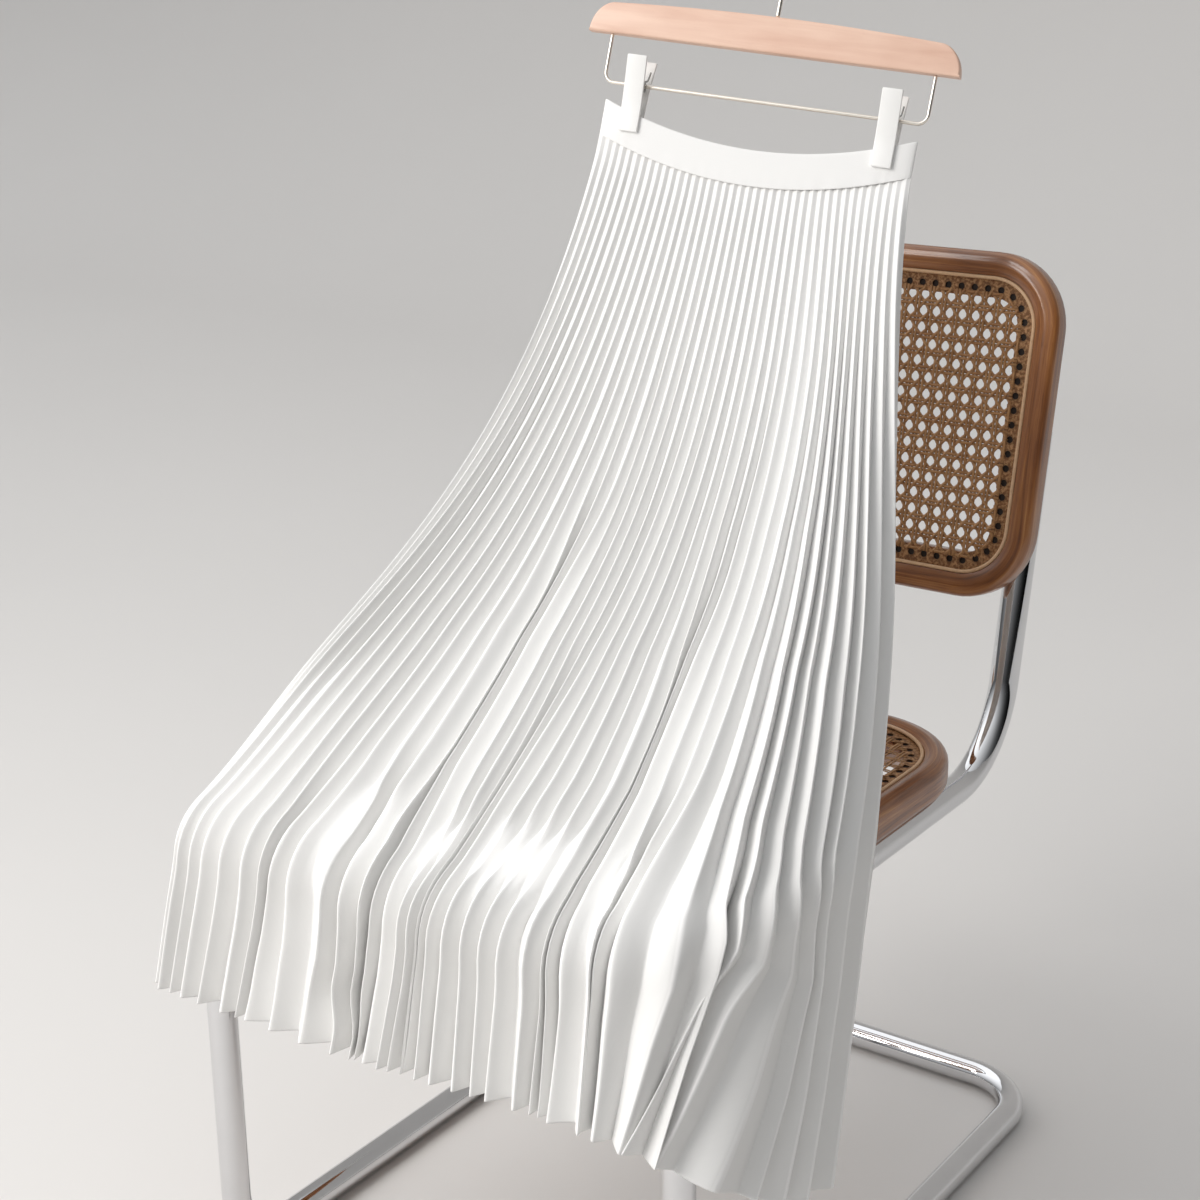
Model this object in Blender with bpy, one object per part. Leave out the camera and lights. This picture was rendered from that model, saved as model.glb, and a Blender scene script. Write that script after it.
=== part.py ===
# Pleated midi skirt on a clip hanger, laid over the seat of a tubular cantilever chair.
# Metres, +Z up, +Y towards the back of the chair, +X to the sitter's left.
# Run with: blender --background --python part.py
import math
from collections import namedtuple

import bmesh
import bpy
import numpy as np
from mathutils import Euler, Matrix, Vector

GAP = 0.0003                 # clearance between pieces that touch

# Skirt
CLOTH = 0.0012               # wall of the pleated cloth
PLEATS = 40                  # pleats in the front panel, and as many in the back
PLEAT_FACE_WAIST = 0.0053    # width of one face of a pleat under the band
PLEAT_FACE_HEM = 0.0185      # and at the hem: sunray pleats widen downwards
BAND_WALL = 0.0018
BAND_HEIGHT = 0.029
BAND_LEFT = -0.1315          # ends of the flat band, along the hanger
BAND_RIGHT = 0.1315
BAND_TOP = -0.065            # below the middle of the hanger bar
BAND_DIP = 0.025             # how far the band hangs between the clips
BAND_DEPTH = 0.0092          # outside to outside, flattened

# Hanger, in its own frame: x along the bar, z up from the bar's middle
HANGER_PLACE = (0.0325, 0.4332, 1.0063)
HANGER_TILT = math.radians(16)   # the cloth draws the clips forwards
HANGER_ROLL = math.radians(6.25)
HANGER_TURN = math.radians(16)
BAR_HALF = 0.155
BAR_UNDERSIDE = -0.012
BAR_HEIGHT_MIDDLE = 0.029
BAR_HEIGHT_SHOULDER = 0.025
BAR_SHOULDER = 0.020         # length of the rounded end
BAR_DEPTH = 0.012
BAR_EASE = 0.0015            # chamfer along the bar's edges
WIRE_RADIUS = 0.0015
WIRE_HALF = 0.1355
WIRE_DROP = -0.051
WIRE_BEND = 0.008
HOOK_RADIUS = 0.0019
HOOK_STEM = 0.030
HOOK_BEND = 0.022
HOOK_CENTRE = 0.0286         # centre of the hook's bend above the end of its stem
HOOK_START = math.radians(-55)
HOOK_SWEEP = math.radians(235)
CLIP_PLACES = (("left", -0.1065), ("right", 0.1065))
PLATE_WIDTH = 0.0168
PLATE_LENGTH = 0.061
PLATE_WALL = 0.0025
PLATE_SPREAD = 0.0125        # how far the plates open at the top, each side
PLATE_TOP = -0.0285
HINGE_ROOM = 0.003           # the plates stand this much further apart at the hinge than at the jaw
JAW_ABOVE = 0.004            # the plates have closed to the jaw this far below the band's top
SPRING_HALF = 0.0045

# Chair
TUBE = 0.0125                # radius of the bent tube
TUBE_SIDES = 12
LEG_X = 0.2265               # the two sides of the frame
RAIL_Z = 0.400
RAIL_BACK_Y = 0.495
UPRIGHT_TOP = (0.5525, 0.684)    # y and z where the tube ends behind the backrest
BASE_BACK_Y = 0.620
BEND_FRONT_TOP = 0.060
BEND_FRONT_FOOT = 0.055
BEND_BACK_FOOT = 0.060
BEND_SEAT_BACK = 0.090
LEG_END = 0.075              # the bent front legs end this far back, at the rail and at the floor
RUNNER_END = 0.540           # the floor runners meet the rear bar here
RAIL_END = 0.410             # the seat rails meet the uprights here
SEAT_WIDTH = 0.480
SEAT_FRONT_Y = -0.028
SEAT_BACK_Y = 0.455
SEAT_THICKNESS = 0.030
BACKREST_WIDTH = 0.494
BACKREST_LOW = 0.142         # along the uprights, from the height of the seat rails
BACKREST_HIGH = 0.434
BACKREST_THICKNESS = 0.026
SURROUND = 0.038             # width of the wooden surrounds
REBATE = 0.020               # the cane is let in from here inwards
CANE = 0.003
SEAT_CANE_DROP = 0.004       # the cane lies this far below the surround's face
BACK_CANE_DROP = 0.005
CORNER = 0.062
SEAT_BACK_CORNER = 0.098
EDGE_ROUND = 0.27            # radius of the surround's edges, as a share of its thickness

# Guide pleats from the left seam to the right one. slope, edge and hem are points of the sheet
# that lies between front and back: part way down to the seat, at the corner where it turns over
# the seat's edge, and where the cloth ends.
Guide = namedtuple("Guide", "across slope edge hem")
GUIDES = (
    Guide(0.00, (-0.118, 0.185, 0.650), (-0.198, -0.043, 0.437), (-0.218, -0.050, 0.308)),
    Guide(0.08, (-0.096, 0.180, 0.640), (-0.176, -0.044, 0.436), (-0.200, -0.052, 0.307)),
    Guide(0.22, (-0.040, 0.178, 0.630), (-0.093, -0.042, 0.4372), (-0.120, -0.052, 0.306)),
    Guide(0.40, (0.041, 0.180, 0.625), (0.026, -0.044, 0.4363), (-0.005, -0.050, 0.307)),
    Guide(0.55, (0.101, 0.182, 0.625), (0.090, -0.046, 0.437), (0.075, -0.054, 0.316)),
    Guide(0.70, (0.163, 0.190, 0.630), (0.180, -0.044, 0.438), (0.172, -0.056, 0.321)),
    Guide(0.78, (0.195, 0.203, 0.643), (0.232, -0.032, 0.446), (0.222, -0.060, 0.318)),
    Guide(0.85, (0.210, 0.222, 0.650), (0.266, 0.015, 0.457), (0.262, -0.036, 0.288)),
    Guide(0.92, (0.222, 0.250, 0.658), (0.282, 0.085, 0.468), (0.280, 0.028, 0.246)),
    Guide(1.00, (0.230, 0.290, 0.668), (0.288, 0.165, 0.465), (0.295, 0.100, 0.229)),
)
SLOPE_SHARE = 0.45           # share of the way from the band to the edge where slope lies
TURN = 0.035                 # length of cloth on each side taken up by the turn at the edge
BELLY = (1.0, 0.7, 0.7)      # power of each axis in hang_shape: below 1, fullest near the band
ROWS = (0.0, 0.05, 0.11, 0.18, 0.27, 0.37, 0.47, 0.57, 0.66, 0.73, 0.77, 0.81, 0.85, 0.92, 1.0)
SQUARE_TO_BAND = 0.22        # the pleats stand square to the band at the top, to the sheet from here

# How far the pleats stray to the right of their even places, as shares of the cloth's width: a row
# for each pleat, a column for each level of DRIFT_LEVELS
DRIFT_LEVELS = (0.0, 0.2, 0.4, 0.55, 0.7, 0.8, 0.9, 1.0)
Drift = namedtuple("Drift", "across shifts")
DRIFTS = (
    Drift(0.00, (0, 0, 0, 0, 0, 0, 0, 0)),
    Drift(0.20, (0, 0, 0, -0.004, 0, 0.005, 0.010, 0.010)),
    Drift(0.33, (0, 0, 0.006, 0.002, 0.003, 0.010, 0.028, 0.036)),
    Drift(0.44, (0, 0, 0.004, -0.002, 0.002, -0.006, 0.010, 0.010)),
    Drift(0.65, (0, 0, -0.006, -0.006, 0.004, 0.005, 0.015, 0.020)),
    Drift(0.73, (0, 0, -0.008, -0.010, -0.004, -0.010, -0.002, 0.008)),
    Drift(0.81, (0, -0.004, -0.014, -0.018, -0.010, 0.004, -0.010, -0.025)),
    Drift(0.865, (0, -0.008, -0.018, -0.024, -0.016, 0.002, -0.020, -0.046)),
    Drift(0.91, (0, -0.010, -0.018, -0.022, -0.020, -0.010, -0.020, -0.036)),
    Drift(0.95, (0, -0.006, -0.012, -0.016, -0.016, -0.010, -0.012, -0.020)),
    Drift(1.00, (0, 0, 0, 0, 0, 0, 0, 0)),
)

# Large folds in the front, each a trough that follows the pleats: its pleat, its width, the shares
# of the way down where it starts and where it is deepest, and its depth
Fold = namedtuple("Fold", "across width start deepest depth")
FOLDS = (
    Fold(0.20, 0.024, 0.70, 0.86, 0.007),
    Fold(0.33, 0.022, 0.36, 0.72, 0.013),
    Fold(0.44, 0.020, 0.56, 0.80, 0.013),
    Fold(0.65, 0.020, 0.50, 0.78, 0.013),
    Fold(0.73, 0.018, 0.72, 0.86, 0.010),
    Fold(0.815, 0.020, 0.78, 0.90, 0.012),
)
PUFF = 0.014                 # how far the front stands off the back over the seat
PRESSED = 0.8                # share of their depth that the back's pleats lose on the seat

CLOTH_COLOUR = (0.83, 0.82, 0.80)
BAND_COLOUR = (0.88, 0.875, 0.86)
BEECH = (0.72, 0.47, 0.33)
CLIP_COLOUR = (0.85, 0.84, 0.82)
STEEL = (0.55, 0.54, 0.52)
CHROME = (0.72, 0.72, 0.72)
STAINED_WOOD = (0.20, 0.075, 0.025)
CANE_COLOUR = (0.42, 0.22, 0.08)


def clear_scene():
    for item in list(bpy.data.objects):
        bpy.data.objects.remove(item, do_unlink=True)


def make_material(name, colour, roughness, metallic=0.0):
    material = bpy.data.materials.new(name)
    material.use_nodes = True
    shader = material.node_tree.nodes["Principled BSDF"]
    shader.inputs["Base Color"].default_value = (*colour, 1.0)
    shader.inputs["Roughness"].default_value = roughness
    shader.inputs["Metallic"].default_value = metallic
    material.diffuse_color = (*colour, 1.0)
    return material


def add_object(name, mesh_data, material, parent):
    """A closed mesh as a named object, shaded smooth but for its sharp edges."""
    mesh_data.normal_update()
    mesh = bpy.data.meshes.new(name)
    mesh_data.to_mesh(mesh)
    mesh_data.free()
    mesh.materials.append(material)
    mesh.shade_smooth()
    mesh.set_sharp_from_angle(angle=math.radians(35))
    item = bpy.data.objects.new(name, mesh)
    bpy.context.scene.collection.objects.link(item)
    item.parent = parent
    return item


def add_empty(name, parent):
    item = bpy.data.objects.new(name, None)
    bpy.context.scene.collection.objects.link(item)
    item.parent = parent
    return item


def loft(rings, closed_path=False):
    """Solid through rings of equally many points, capped at both ends unless the path closes."""
    shape = bmesh.new()
    loops = [[shape.verts.new(tuple(point)) for point in ring] for ring in rings]
    pairs = list(zip(loops, loops[1:]))
    if closed_path:
        pairs.append((loops[-1], loops[0]))
    for first, second in pairs:
        count = len(first)
        for i in range(count):
            j = (i + 1) % count
            shape.faces.new((first[i], first[j], second[j], second[i]))
    if not closed_path:
        shape.faces.new(list(reversed(loops[0])))
        shape.faces.new(loops[-1])
    bmesh.ops.recalc_face_normals(shape, faces=shape.faces)
    return shape


def rounded_path(corners, radii, steps=6):
    """Points of a path with an arc in place of each inner corner."""
    points = [Vector(corners[0])]
    for before, corner, after, radius in zip(corners, corners[1:], corners[2:], radii):
        corner = Vector(corner)
        back = (Vector(before) - corner).normalized()
        ahead = (Vector(after) - corner).normalized()
        half = back.angle(ahead) / 2
        centre = corner + (back + ahead).normalized() * radius / math.sin(half)
        start = corner + back * radius / math.tan(half) - centre
        axis = back.cross(ahead)
        sweep = math.pi - 2 * half
        for i in range(steps + 1):
            points.append(centre + Matrix.Rotation(-sweep * i / steps, 3, axis) @ start)
    points.append(Vector(corners[-1]))
    return points


def tube(points, radius, sides, across):
    """Round bar along a flat path. across is the normal of the path's plane, and two of its
    facets face along it, so that a level run has a flat facet underneath."""
    across = Vector(across).normalized()
    outer = radius / math.cos(math.pi / sides)
    rings = []
    for i, point in enumerate(points):
        ahead = (points[min(i + 1, len(points) - 1)] - points[max(i - 1, 0)]).normalized()
        normal = ahead.cross(across)
        ring = []
        for k in range(sides):
            angle = 2 * math.pi * (k + 0.5) / sides
            ring.append(point + outer * (math.cos(angle) * normal + math.sin(angle) * across))
        rings.append(ring)
    return loft(rings)


def rounded_rectangle(half_x, half_y, back, front, steps=6):
    """Outline whose corners have the radius back on the +y side, and front on the other."""
    points = []
    for quarter, (sx, sy, radius) in enumerate(((1, 1, back), (-1, 1, back), (-1, -1, front), (1, -1, front))):
        for i in range(steps + 1):
            angle = math.pi / 2 * (quarter + i / steps)
            points.append((sx * (half_x - radius) + radius * math.cos(angle),
                           sy * (half_y - radius) + radius * math.sin(angle)))
    return points


def surround_profile(thickness, ledge):
    """Section of the surround, as insets from its outside and heights: the outer edges are round,
    and inside the rebate it drops to the ledge that carries the cane."""
    soft = thickness * EDGE_ROUND
    steps = 2
    profile = []
    for height, first in ((soft, 1.5 * math.pi), (thickness - soft, math.pi)):
        for i in range(steps + 1):
            angle = first - math.pi / 2 * i / steps
            profile.append((soft + soft * math.cos(angle), height + soft * math.sin(angle)))
    profile.append((REBATE - soft / 4, thickness))
    profile.append((REBATE, thickness - soft / 4))
    profile.append((REBATE, ledge))
    profile.append((SURROUND, ledge))
    profile.append((SURROUND, 0.0))
    return profile


def surround(half_x, half_y, back_corner, thickness, ledge):
    """Wooden surround: its section carried round a rounded rectangle."""
    rings = []
    for inset, height in surround_profile(thickness, ledge):
        outline = rounded_rectangle(half_x - inset, half_y - inset, back_corner - inset, CORNER - inset)
        rings.append([(x, y, height) for x, y in outline])
    return loft(rings, closed_path=True)


def add_tube(name, points, across, material, parent):
    add_object(name, tube(points, TUBE, TUBE_SIDES, across), material, parent)


def build_tubes(parent):
    """The bent frame, in the lengths that meet at its straight runs."""
    chrome = make_material("chrome_tube", CHROME, 0.12, 1.0)
    sideways = (1, 0, 0)
    for side, x in (("left", LEG_X), ("right", -LEG_X)):
        leg = rounded_path(((x, LEG_END, RAIL_Z), (x, 0, RAIL_Z), (x, 0, TUBE), (x, LEG_END, TUBE)),
                           (BEND_FRONT_TOP, BEND_FRONT_FOOT))
        add_tube("leg_" + side, leg, sideways, chrome, parent)
        rail = [Vector((x, LEG_END + GAP, RAIL_Z)), Vector((x, RAIL_END, RAIL_Z))]
        add_tube("seat_rail_" + side, rail, sideways, chrome, parent)
        runner = [Vector((x, LEG_END + GAP, TUBE)), Vector((x, RUNNER_END, TUBE))]
        add_tube("floor_runner_" + side, runner, sideways, chrome, parent)
        upright = rounded_path(((x, RAIL_END + GAP, RAIL_Z), (x, RAIL_BACK_Y, RAIL_Z), (x, *UPRIGHT_TOP)),
                               (BEND_SEAT_BACK,))
        add_tube("upright_" + side, upright, sideways, chrome, parent)
    start = RUNNER_END + GAP
    bar = rounded_path(((LEG_X, start, TUBE), (LEG_X, BASE_BACK_Y, TUBE), (-LEG_X, BASE_BACK_Y, TUBE),
                        (-LEG_X, start, TUBE)), (BEND_BACK_FOOT, BEND_BACK_FOOT))
    add_tube("floor_bar_rear", bar, (0, 0, 1), chrome, parent)


def add_caned_panel(name, half_x, half_y, back_corner, thickness, drop, materials, parent):
    """A wooden surround with a sheet of cane let into it, drop below its face."""
    wood, cane = materials
    top = thickness - drop
    low = top - CANE
    frame = surround(half_x, half_y, back_corner, thickness, low - GAP)
    add_object(name + "_frame", frame, wood, parent)
    inset = REBATE + GAP
    outline = rounded_rectangle(half_x - inset, half_y - inset, back_corner - inset, CORNER - inset)
    sheet = loft([[(x, y, z) for x, y in outline] for z in (low, top)])
    add_object(name + "_cane", sheet, cane, parent)


def build_seat_and_back(parent):
    wood = make_material("stained_wood", STAINED_WOOD, 0.35)
    materials = (wood, make_material("woven_cane", CANE_COLOUR, 0.6))
    stand_off = TUBE + GAP
    half_y = (SEAT_BACK_Y - SEAT_FRONT_Y) / 2
    seat = add_empty("seat", parent)
    seat.location = (0, SEAT_FRONT_Y + half_y, RAIL_Z + stand_off)
    add_caned_panel("seat", SEAT_WIDTH / 2, half_y, SEAT_BACK_CORNER, SEAT_THICKNESS, SEAT_CANE_DROP,
                    materials, seat)

    lean = math.atan2(UPRIGHT_TOP[0] - RAIL_BACK_Y, UPRIGHT_TOP[1] - RAIL_Z)
    middle = (BACKREST_HIGH + BACKREST_LOW) / 2
    back = add_empty("backrest", parent)
    back.location = (0, RAIL_BACK_Y + middle * math.sin(lean) - stand_off * math.cos(lean),
                     RAIL_Z + middle * math.cos(lean) + stand_off * math.sin(lean))
    back.rotation_euler = Euler((math.pi / 2 - lean, 0, 0))
    half_height = (BACKREST_HIGH - BACKREST_LOW) / 2
    add_caned_panel("backrest", BACKREST_WIDTH / 2, half_height, CORNER, BACKREST_THICKNESS, BACK_CANE_DROP,
                    materials, back)


def bar_outline():
    """Side view of the hanger bar: flat underside, gently arched top, rounded ends."""
    corner_steps = 6
    arch_steps = 8
    flat = BAR_HALF - BAR_SHOULDER
    rise = BAR_HEIGHT_MIDDLE - BAR_HEIGHT_SHOULDER
    points = [(-BAR_HALF, BAR_UNDERSIDE), (BAR_HALF, BAR_UNDERSIDE)]
    for i in range(1, corner_steps + 1):
        angle = math.pi / 2 * i / corner_steps
        points.append((flat + BAR_SHOULDER * math.cos(angle),
                       BAR_UNDERSIDE + BAR_HEIGHT_SHOULDER * math.sin(angle)))
    for i in range(1, arch_steps):
        x = flat - 2 * flat * i / arch_steps
        points.append((x, BAR_UNDERSIDE + BAR_HEIGHT_SHOULDER + rise * (1 - (x / flat) ** 2)))
    for i in range(corner_steps):
        angle = math.pi / 2 * (1 + i / corner_steps)
        points.append((-flat + BAR_SHOULDER * math.cos(angle),
                       BAR_UNDERSIDE + BAR_HEIGHT_SHOULDER * math.sin(angle)))
    return points


def build_bar(parent):
    beech = make_material("beech", BEECH, 0.45)
    outline = bar_outline()
    half_height = BAR_HEIGHT_MIDDLE / 2
    middle_z = BAR_UNDERSIDE + half_height
    half_depth = BAR_DEPTH / 2
    rings = []
    for y, inset in ((-half_depth, BAR_EASE), (-half_depth + BAR_EASE, 0), (half_depth - BAR_EASE, 0),
                     (half_depth, BAR_EASE)):
        across = 1 - inset / BAR_HALF
        upwards = 1 - inset / half_height
        rings.append([(x * across, y, middle_z + (z - middle_z) * upwards) for x, z in outline])
    add_object("hanger_bar", loft(rings), beech, parent)


def build_wires(steel, parent):
    """The hook over the bar and the bent wire under it."""
    across = (0, 1, 0)
    sides = 8
    top = BAR_UNDERSIDE + BAR_HEIGHT_MIDDLE + GAP
    neck = top + HOOK_STEM
    hook = [Vector((0, 0, top)), Vector((0, 0, neck))]
    steps = 14
    for i in range(1, steps + 1):
        angle = HOOK_START + HOOK_SWEEP * i / steps
        hook.append(Vector((HOOK_BEND * math.cos(angle), 0, neck + HOOK_CENTRE + HOOK_BEND * math.sin(angle))))
    add_object("hanger_hook", tube(hook, HOOK_RADIUS, sides, across), steel, parent)

    low = BAR_UNDERSIDE - GAP
    wire = rounded_path(((-WIRE_HALF, 0, low), (-WIRE_HALF, 0, WIRE_DROP), (WIRE_HALF, 0, WIRE_DROP),
                         (WIRE_HALF, 0, low)), (WIRE_BEND, WIRE_BEND), 4)
    add_object("hanger_wire", tube(wire, WIRE_RADIUS, sides, across), steel, parent)


def build_clip(name, x, white, steel, parent):
    """Two plates hinged on the wire, their lower jaws closed on the waistband."""
    jaw = BAND_DEPTH / 2 + GAP
    half_width = PLATE_WIDTH / 2
    for side, sign in (("front", -1), ("back", 1)):
        rings = []
        for z, y in ((PLATE_TOP, PLATE_SPREAD), (WIRE_DROP, jaw + HINGE_ROOM), (BAND_TOP - JAW_ABOVE, jaw),
                     (PLATE_TOP - PLATE_LENGTH, jaw)):
            near = sign * y
            far = sign * (y + PLATE_WALL)
            rings.append([(x - half_width, near, z), (x + half_width, near, z),
                          (x + half_width, far, z), (x - half_width, far, z)])
        add_object(f"clip_{name}_{side}", loft(rings), white, parent)
    hole = WIRE_RADIUS / math.cos(math.pi / 8) + GAP
    coil = jaw + HINGE_ROOM - GAP
    sides = 12
    rings = []
    for radius, end in ((hole, -SPRING_HALF), (coil, -SPRING_HALF), (coil, SPRING_HALF), (hole, SPRING_HALF)):
        angles = [2 * math.pi * k / sides for k in range(sides)]
        rings.append([(x + end, radius * math.cos(a), WIRE_DROP + radius * math.sin(a)) for a in angles])
    add_object(f"clip_{name}_spring", loft(rings, closed_path=True), steel, parent)


def build_hanger(parent):
    steel = make_material("steel_wire", STEEL, 0.25, 1.0)
    white = make_material("clip_plastic", CLIP_COLOUR, 0.4)
    build_bar(parent)
    build_wires(steel, parent)
    for name, x in CLIP_PLACES:
        build_clip(name, x, white, steel, parent)


def hermite(knots, values, at):
    """Smooth curve through values at the knots, with the slopes of its neighbours' chords."""
    knots = np.asarray(knots, float)
    values = np.asarray(values, float)
    slopes = np.gradient(values, knots, axis=0)
    index = np.clip(np.searchsorted(knots, at, side="right") - 1, 0, len(knots) - 2)
    step = knots[index + 1] - knots[index]
    t = ((at - knots[index]) / step)[:, None]
    step = step[:, None]
    return ((2 * t**3 - 3 * t**2 + 1) * values[index] + (t**3 - 2 * t**2 + t) * step * slopes[index]
            + (3 * t**2 - 2 * t**3) * values[index + 1] + (t**3 - t**2) * step * slopes[index + 1])


def hang_shape(share):
    """Belly of a hanging sheet on each axis: none at the band and at the seat's edge."""
    return np.sin(math.pi * share ** np.array(BELLY))


def band_line(across, height):
    """Points of the band in the hanger's frame; height runs from 0, its top, to 1, its lower edge."""
    x = BAND_LEFT + (BAND_RIGHT - BAND_LEFT) * across
    dip = BAND_DIP * (1 - (2 * across - 1) ** 2)
    return np.stack([x, np.zeros_like(x), BAND_TOP - dip - BAND_HEIGHT * height], axis=-1)


def drifted(across, level):
    """Places of the pleats at a level, strayed from their even places."""
    shifts = [np.interp(level, DRIFT_LEVELS, drift.shifts) for drift in DRIFTS]
    knots = [drift.across for drift in DRIFTS]
    return across + hermite(knots, np.array(shifts)[:, None], across)[:, 0]


def pleat_lines(hanger_matrix, across):
    """Points of the middle sheet: rows down the cloth, columns along the pleats."""
    even = np.linspace(0, 1, 4 * PLEATS + 1)
    knots = [guide.across for guide in GUIDES]
    slope = hermite(knots, [guide.slope for guide in GUIDES], even)
    edge = hermite(knots, [guide.edge for guide in GUIDES], even)
    hem = hermite(knots, [guide.hem for guide in GUIDES], even)
    local = band_line(even, 1.0)
    local[:, 2] -= GAP
    turn = np.array(hanger_matrix)
    waist = local @ turn[:3, :3].T + turn[:3, 3]
    belly = (slope - (waist + (edge - waist) * SLOPE_SHARE)) / hang_shape(SLOPE_SHARE)
    share = np.linspace(0, 1, 60)[:, None, None]
    upper = waist + (edge - waist) * share + belly * hang_shape(share)
    lines = np.stack([turn_over_edge(upper[:, i], edge[i], hem[i]) for i in range(len(even))], axis=1)
    rows = []
    for level, line in zip(ROWS, lines):
        place = drifted(across, level)
        rows.append(np.stack([np.interp(place, even, line[:, k]) for k in range(3)], axis=1))
    return np.stack(rows)


def turn_over_edge(upper, edge, hem):
    """One pleat line: down the slope, round the edge and down to the hem, at the rows' shares."""
    run = np.linalg.norm(upper - edge, axis=1)
    keep = upper[run > TURN]
    leave = edge + (hem - edge) / np.linalg.norm(hem - edge) * TURN
    t = np.linspace(0, 1, 14)[1:, None]
    arc = (1 - t) ** 2 * keep[-1] + 2 * t * (1 - t) * edge + t**2 * leave
    fall = leave + (hem - leave) * np.linspace(0, 1, 12)[1:, None]
    path = np.concatenate([keep, arc, fall])
    length = np.concatenate([[0], np.cumsum(np.linalg.norm(np.diff(path, axis=0), axis=1))])
    wanted = np.array(ROWS) * length[-1]
    return np.stack([np.interp(wanted, length, path[:, k]) for k in range(3)], axis=1)


def sheet_normals(sheet, hanger_matrix):
    """Outward normals of the middle sheet, square to the band where the pleats meet it."""
    down = np.gradient(sheet, axis=0)
    along = np.gradient(sheet, axis=1)
    normal = np.cross(down, along)
    normal /= np.linalg.norm(normal, axis=2, keepdims=True)
    band_normal = -np.array(hanger_matrix)[:3, 1]
    free = ramp(np.array(ROWS), 0.0, SQUARE_TO_BAND)[:, None, None]
    normal = band_normal * (1 - free) + normal * free
    return normal / np.linalg.norm(normal, axis=2, keepdims=True)


def ramp(value, start, end):
    t = np.clip((value - start) / (end - start), 0, 1)
    return t * t * (3 - 2 * t)


def front_stand_off(across, down):
    """How far the front's valleys stand off the middle sheet: puffed over the seat, less the folds."""
    seams = ramp(across, 0.0, 0.08) * ramp(1 - across, 0.0, 0.08)
    rise = PUFF * ramp(down, 0.15, 0.7) * seams
    for fold in FOLDS:
        reach = ramp(down, fold.start, fold.deepest)
        rise = rise - fold.depth * reach * seams * np.exp(-(((across - fold.across) / fold.width) ** 2))
    return np.maximum(rise, 0.0)


def pressed_flat(across, down):
    """How far the back's pleats are pressed by the seat they lie on: not at the side that hangs
    past the seat, and not below its edge."""
    lying = ramp(down, 0.50, 0.66) * (1 - ramp(down, 0.84, 0.94))
    return PRESSED * lying * (1 - ramp(across, 0.88, 0.98))


def pleat_depth(sheet, down, pressed):
    """Depth of the pleats, from the width of their faces and their spacing on the sheet, and the
    wall measured along the sheet's normal, which gives the cloth its thickness across a face."""
    pitch = 2 * np.linalg.norm(np.gradient(sheet, axis=1), axis=2)
    face = PLEAT_FACE_WAIST + (PLEAT_FACE_HEM - PLEAT_FACE_WAIST) * down
    shallowest = 0.25 * face
    depth = np.sqrt(np.maximum(face**2 - (pitch / 2) ** 2, shallowest**2)) * (1 - pressed)
    wall = CLOTH * np.sqrt(1 + (2 * depth / pitch) ** 2)
    return depth, wall


def build_panel(name, side, sheet, normals, across, material, parent):
    """One pleated panel. side is +1 for the front, outside the middle sheet, and -1 for the back."""
    across, down = np.meshgrid(across, ROWS)
    if side > 0:
        valleys = GAP / 2 + front_stand_off(across, down)
        pressed = np.zeros_like(down)
    else:
        valleys = np.full_like(down, GAP / 2)
        pressed = pressed_flat(across, down)
    depth, wall = pleat_depth(sheet, down, pressed)
    ridge = np.arange(down.shape[1]) % 2
    near = valleys + depth * ridge
    far = near + wall
    inner = sheet + side * near[:, :, None] * normals
    outer = sheet + side * far[:, :, None] * normals
    add_object(name, wall_between(inner, outer), material, parent)


def wall_between(inner, outer):
    """Closed wall between two grids of the same size."""
    rows, columns = inner.shape[:2]
    shape = bmesh.new()
    grids = []
    for points in (inner, outer):
        grid = [[shape.verts.new(point) for point in row] for row in points.tolist()]
        for upper, lower in zip(grid, grid[1:]):
            for j in range(columns - 1):
                shape.faces.new((upper[j], upper[j + 1], lower[j + 1], lower[j]))
        grids.append(grid)
    near, far = grids
    border = [(i, 0) for i in range(rows)]
    border += [(rows - 1, j) for j in range(1, columns)]
    border += [(i, columns - 1) for i in range(rows - 2, -1, -1)]
    border += [(0, j) for j in range(columns - 2, 0, -1)]
    for (i, j), (k, m) in zip(border, border[1:] + border[:1]):
        shape.faces.new((near[i][j], near[k][m], far[k][m], far[i][j]))
    bmesh.ops.recalc_face_normals(shape, faces=shape.faces)
    bmesh.ops.triangulate(shape, faces=shape.faces)
    return shape


def build_waistband(parent):
    """A flattened tube of elastic that dips between the clips."""
    white = make_material("waistband_elastic", BAND_COLOUR, 0.8)
    columns = 18
    share = (1 - np.cos(np.linspace(0, math.pi, columns))) / 2
    centred = 2 * share - 1
    nothing = np.zeros_like(share)
    open_depth = np.sqrt(np.maximum(1 - centred**6, 0.0))
    rings = []
    for inset, heights in ((0.0, (0.0, 0.5, 1.0)), (BAND_WALL, (1.0, 0.5, 0.0))):
        half = (BAND_DEPTH / 2 - inset) * open_depth
        for height in heights:
            line = band_line(share, height)
            line[:, 0] -= inset * centred
            front = line - np.stack([nothing, half, nothing], axis=1)
            back = line + np.stack([nothing, half, nothing], axis=1)
            rings.append(np.concatenate([front, back[-2:0:-1]]))
    add_object("waistband", loft(rings, closed_path=True), white, parent)


def build_skirt(hanger_matrix, parent):
    cloth = make_material("pleated_cloth", CLOTH_COLOUR, 0.75)
    across = np.linspace(0, 1, 2 * PLEATS + 1)
    sheet = pleat_lines(hanger_matrix, across)
    normals = sheet_normals(sheet, hanger_matrix)
    build_panel("skirt_front", 1, sheet, normals, across, cloth, parent)
    build_panel("skirt_back", -1, sheet, normals, across, cloth, parent)


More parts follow.
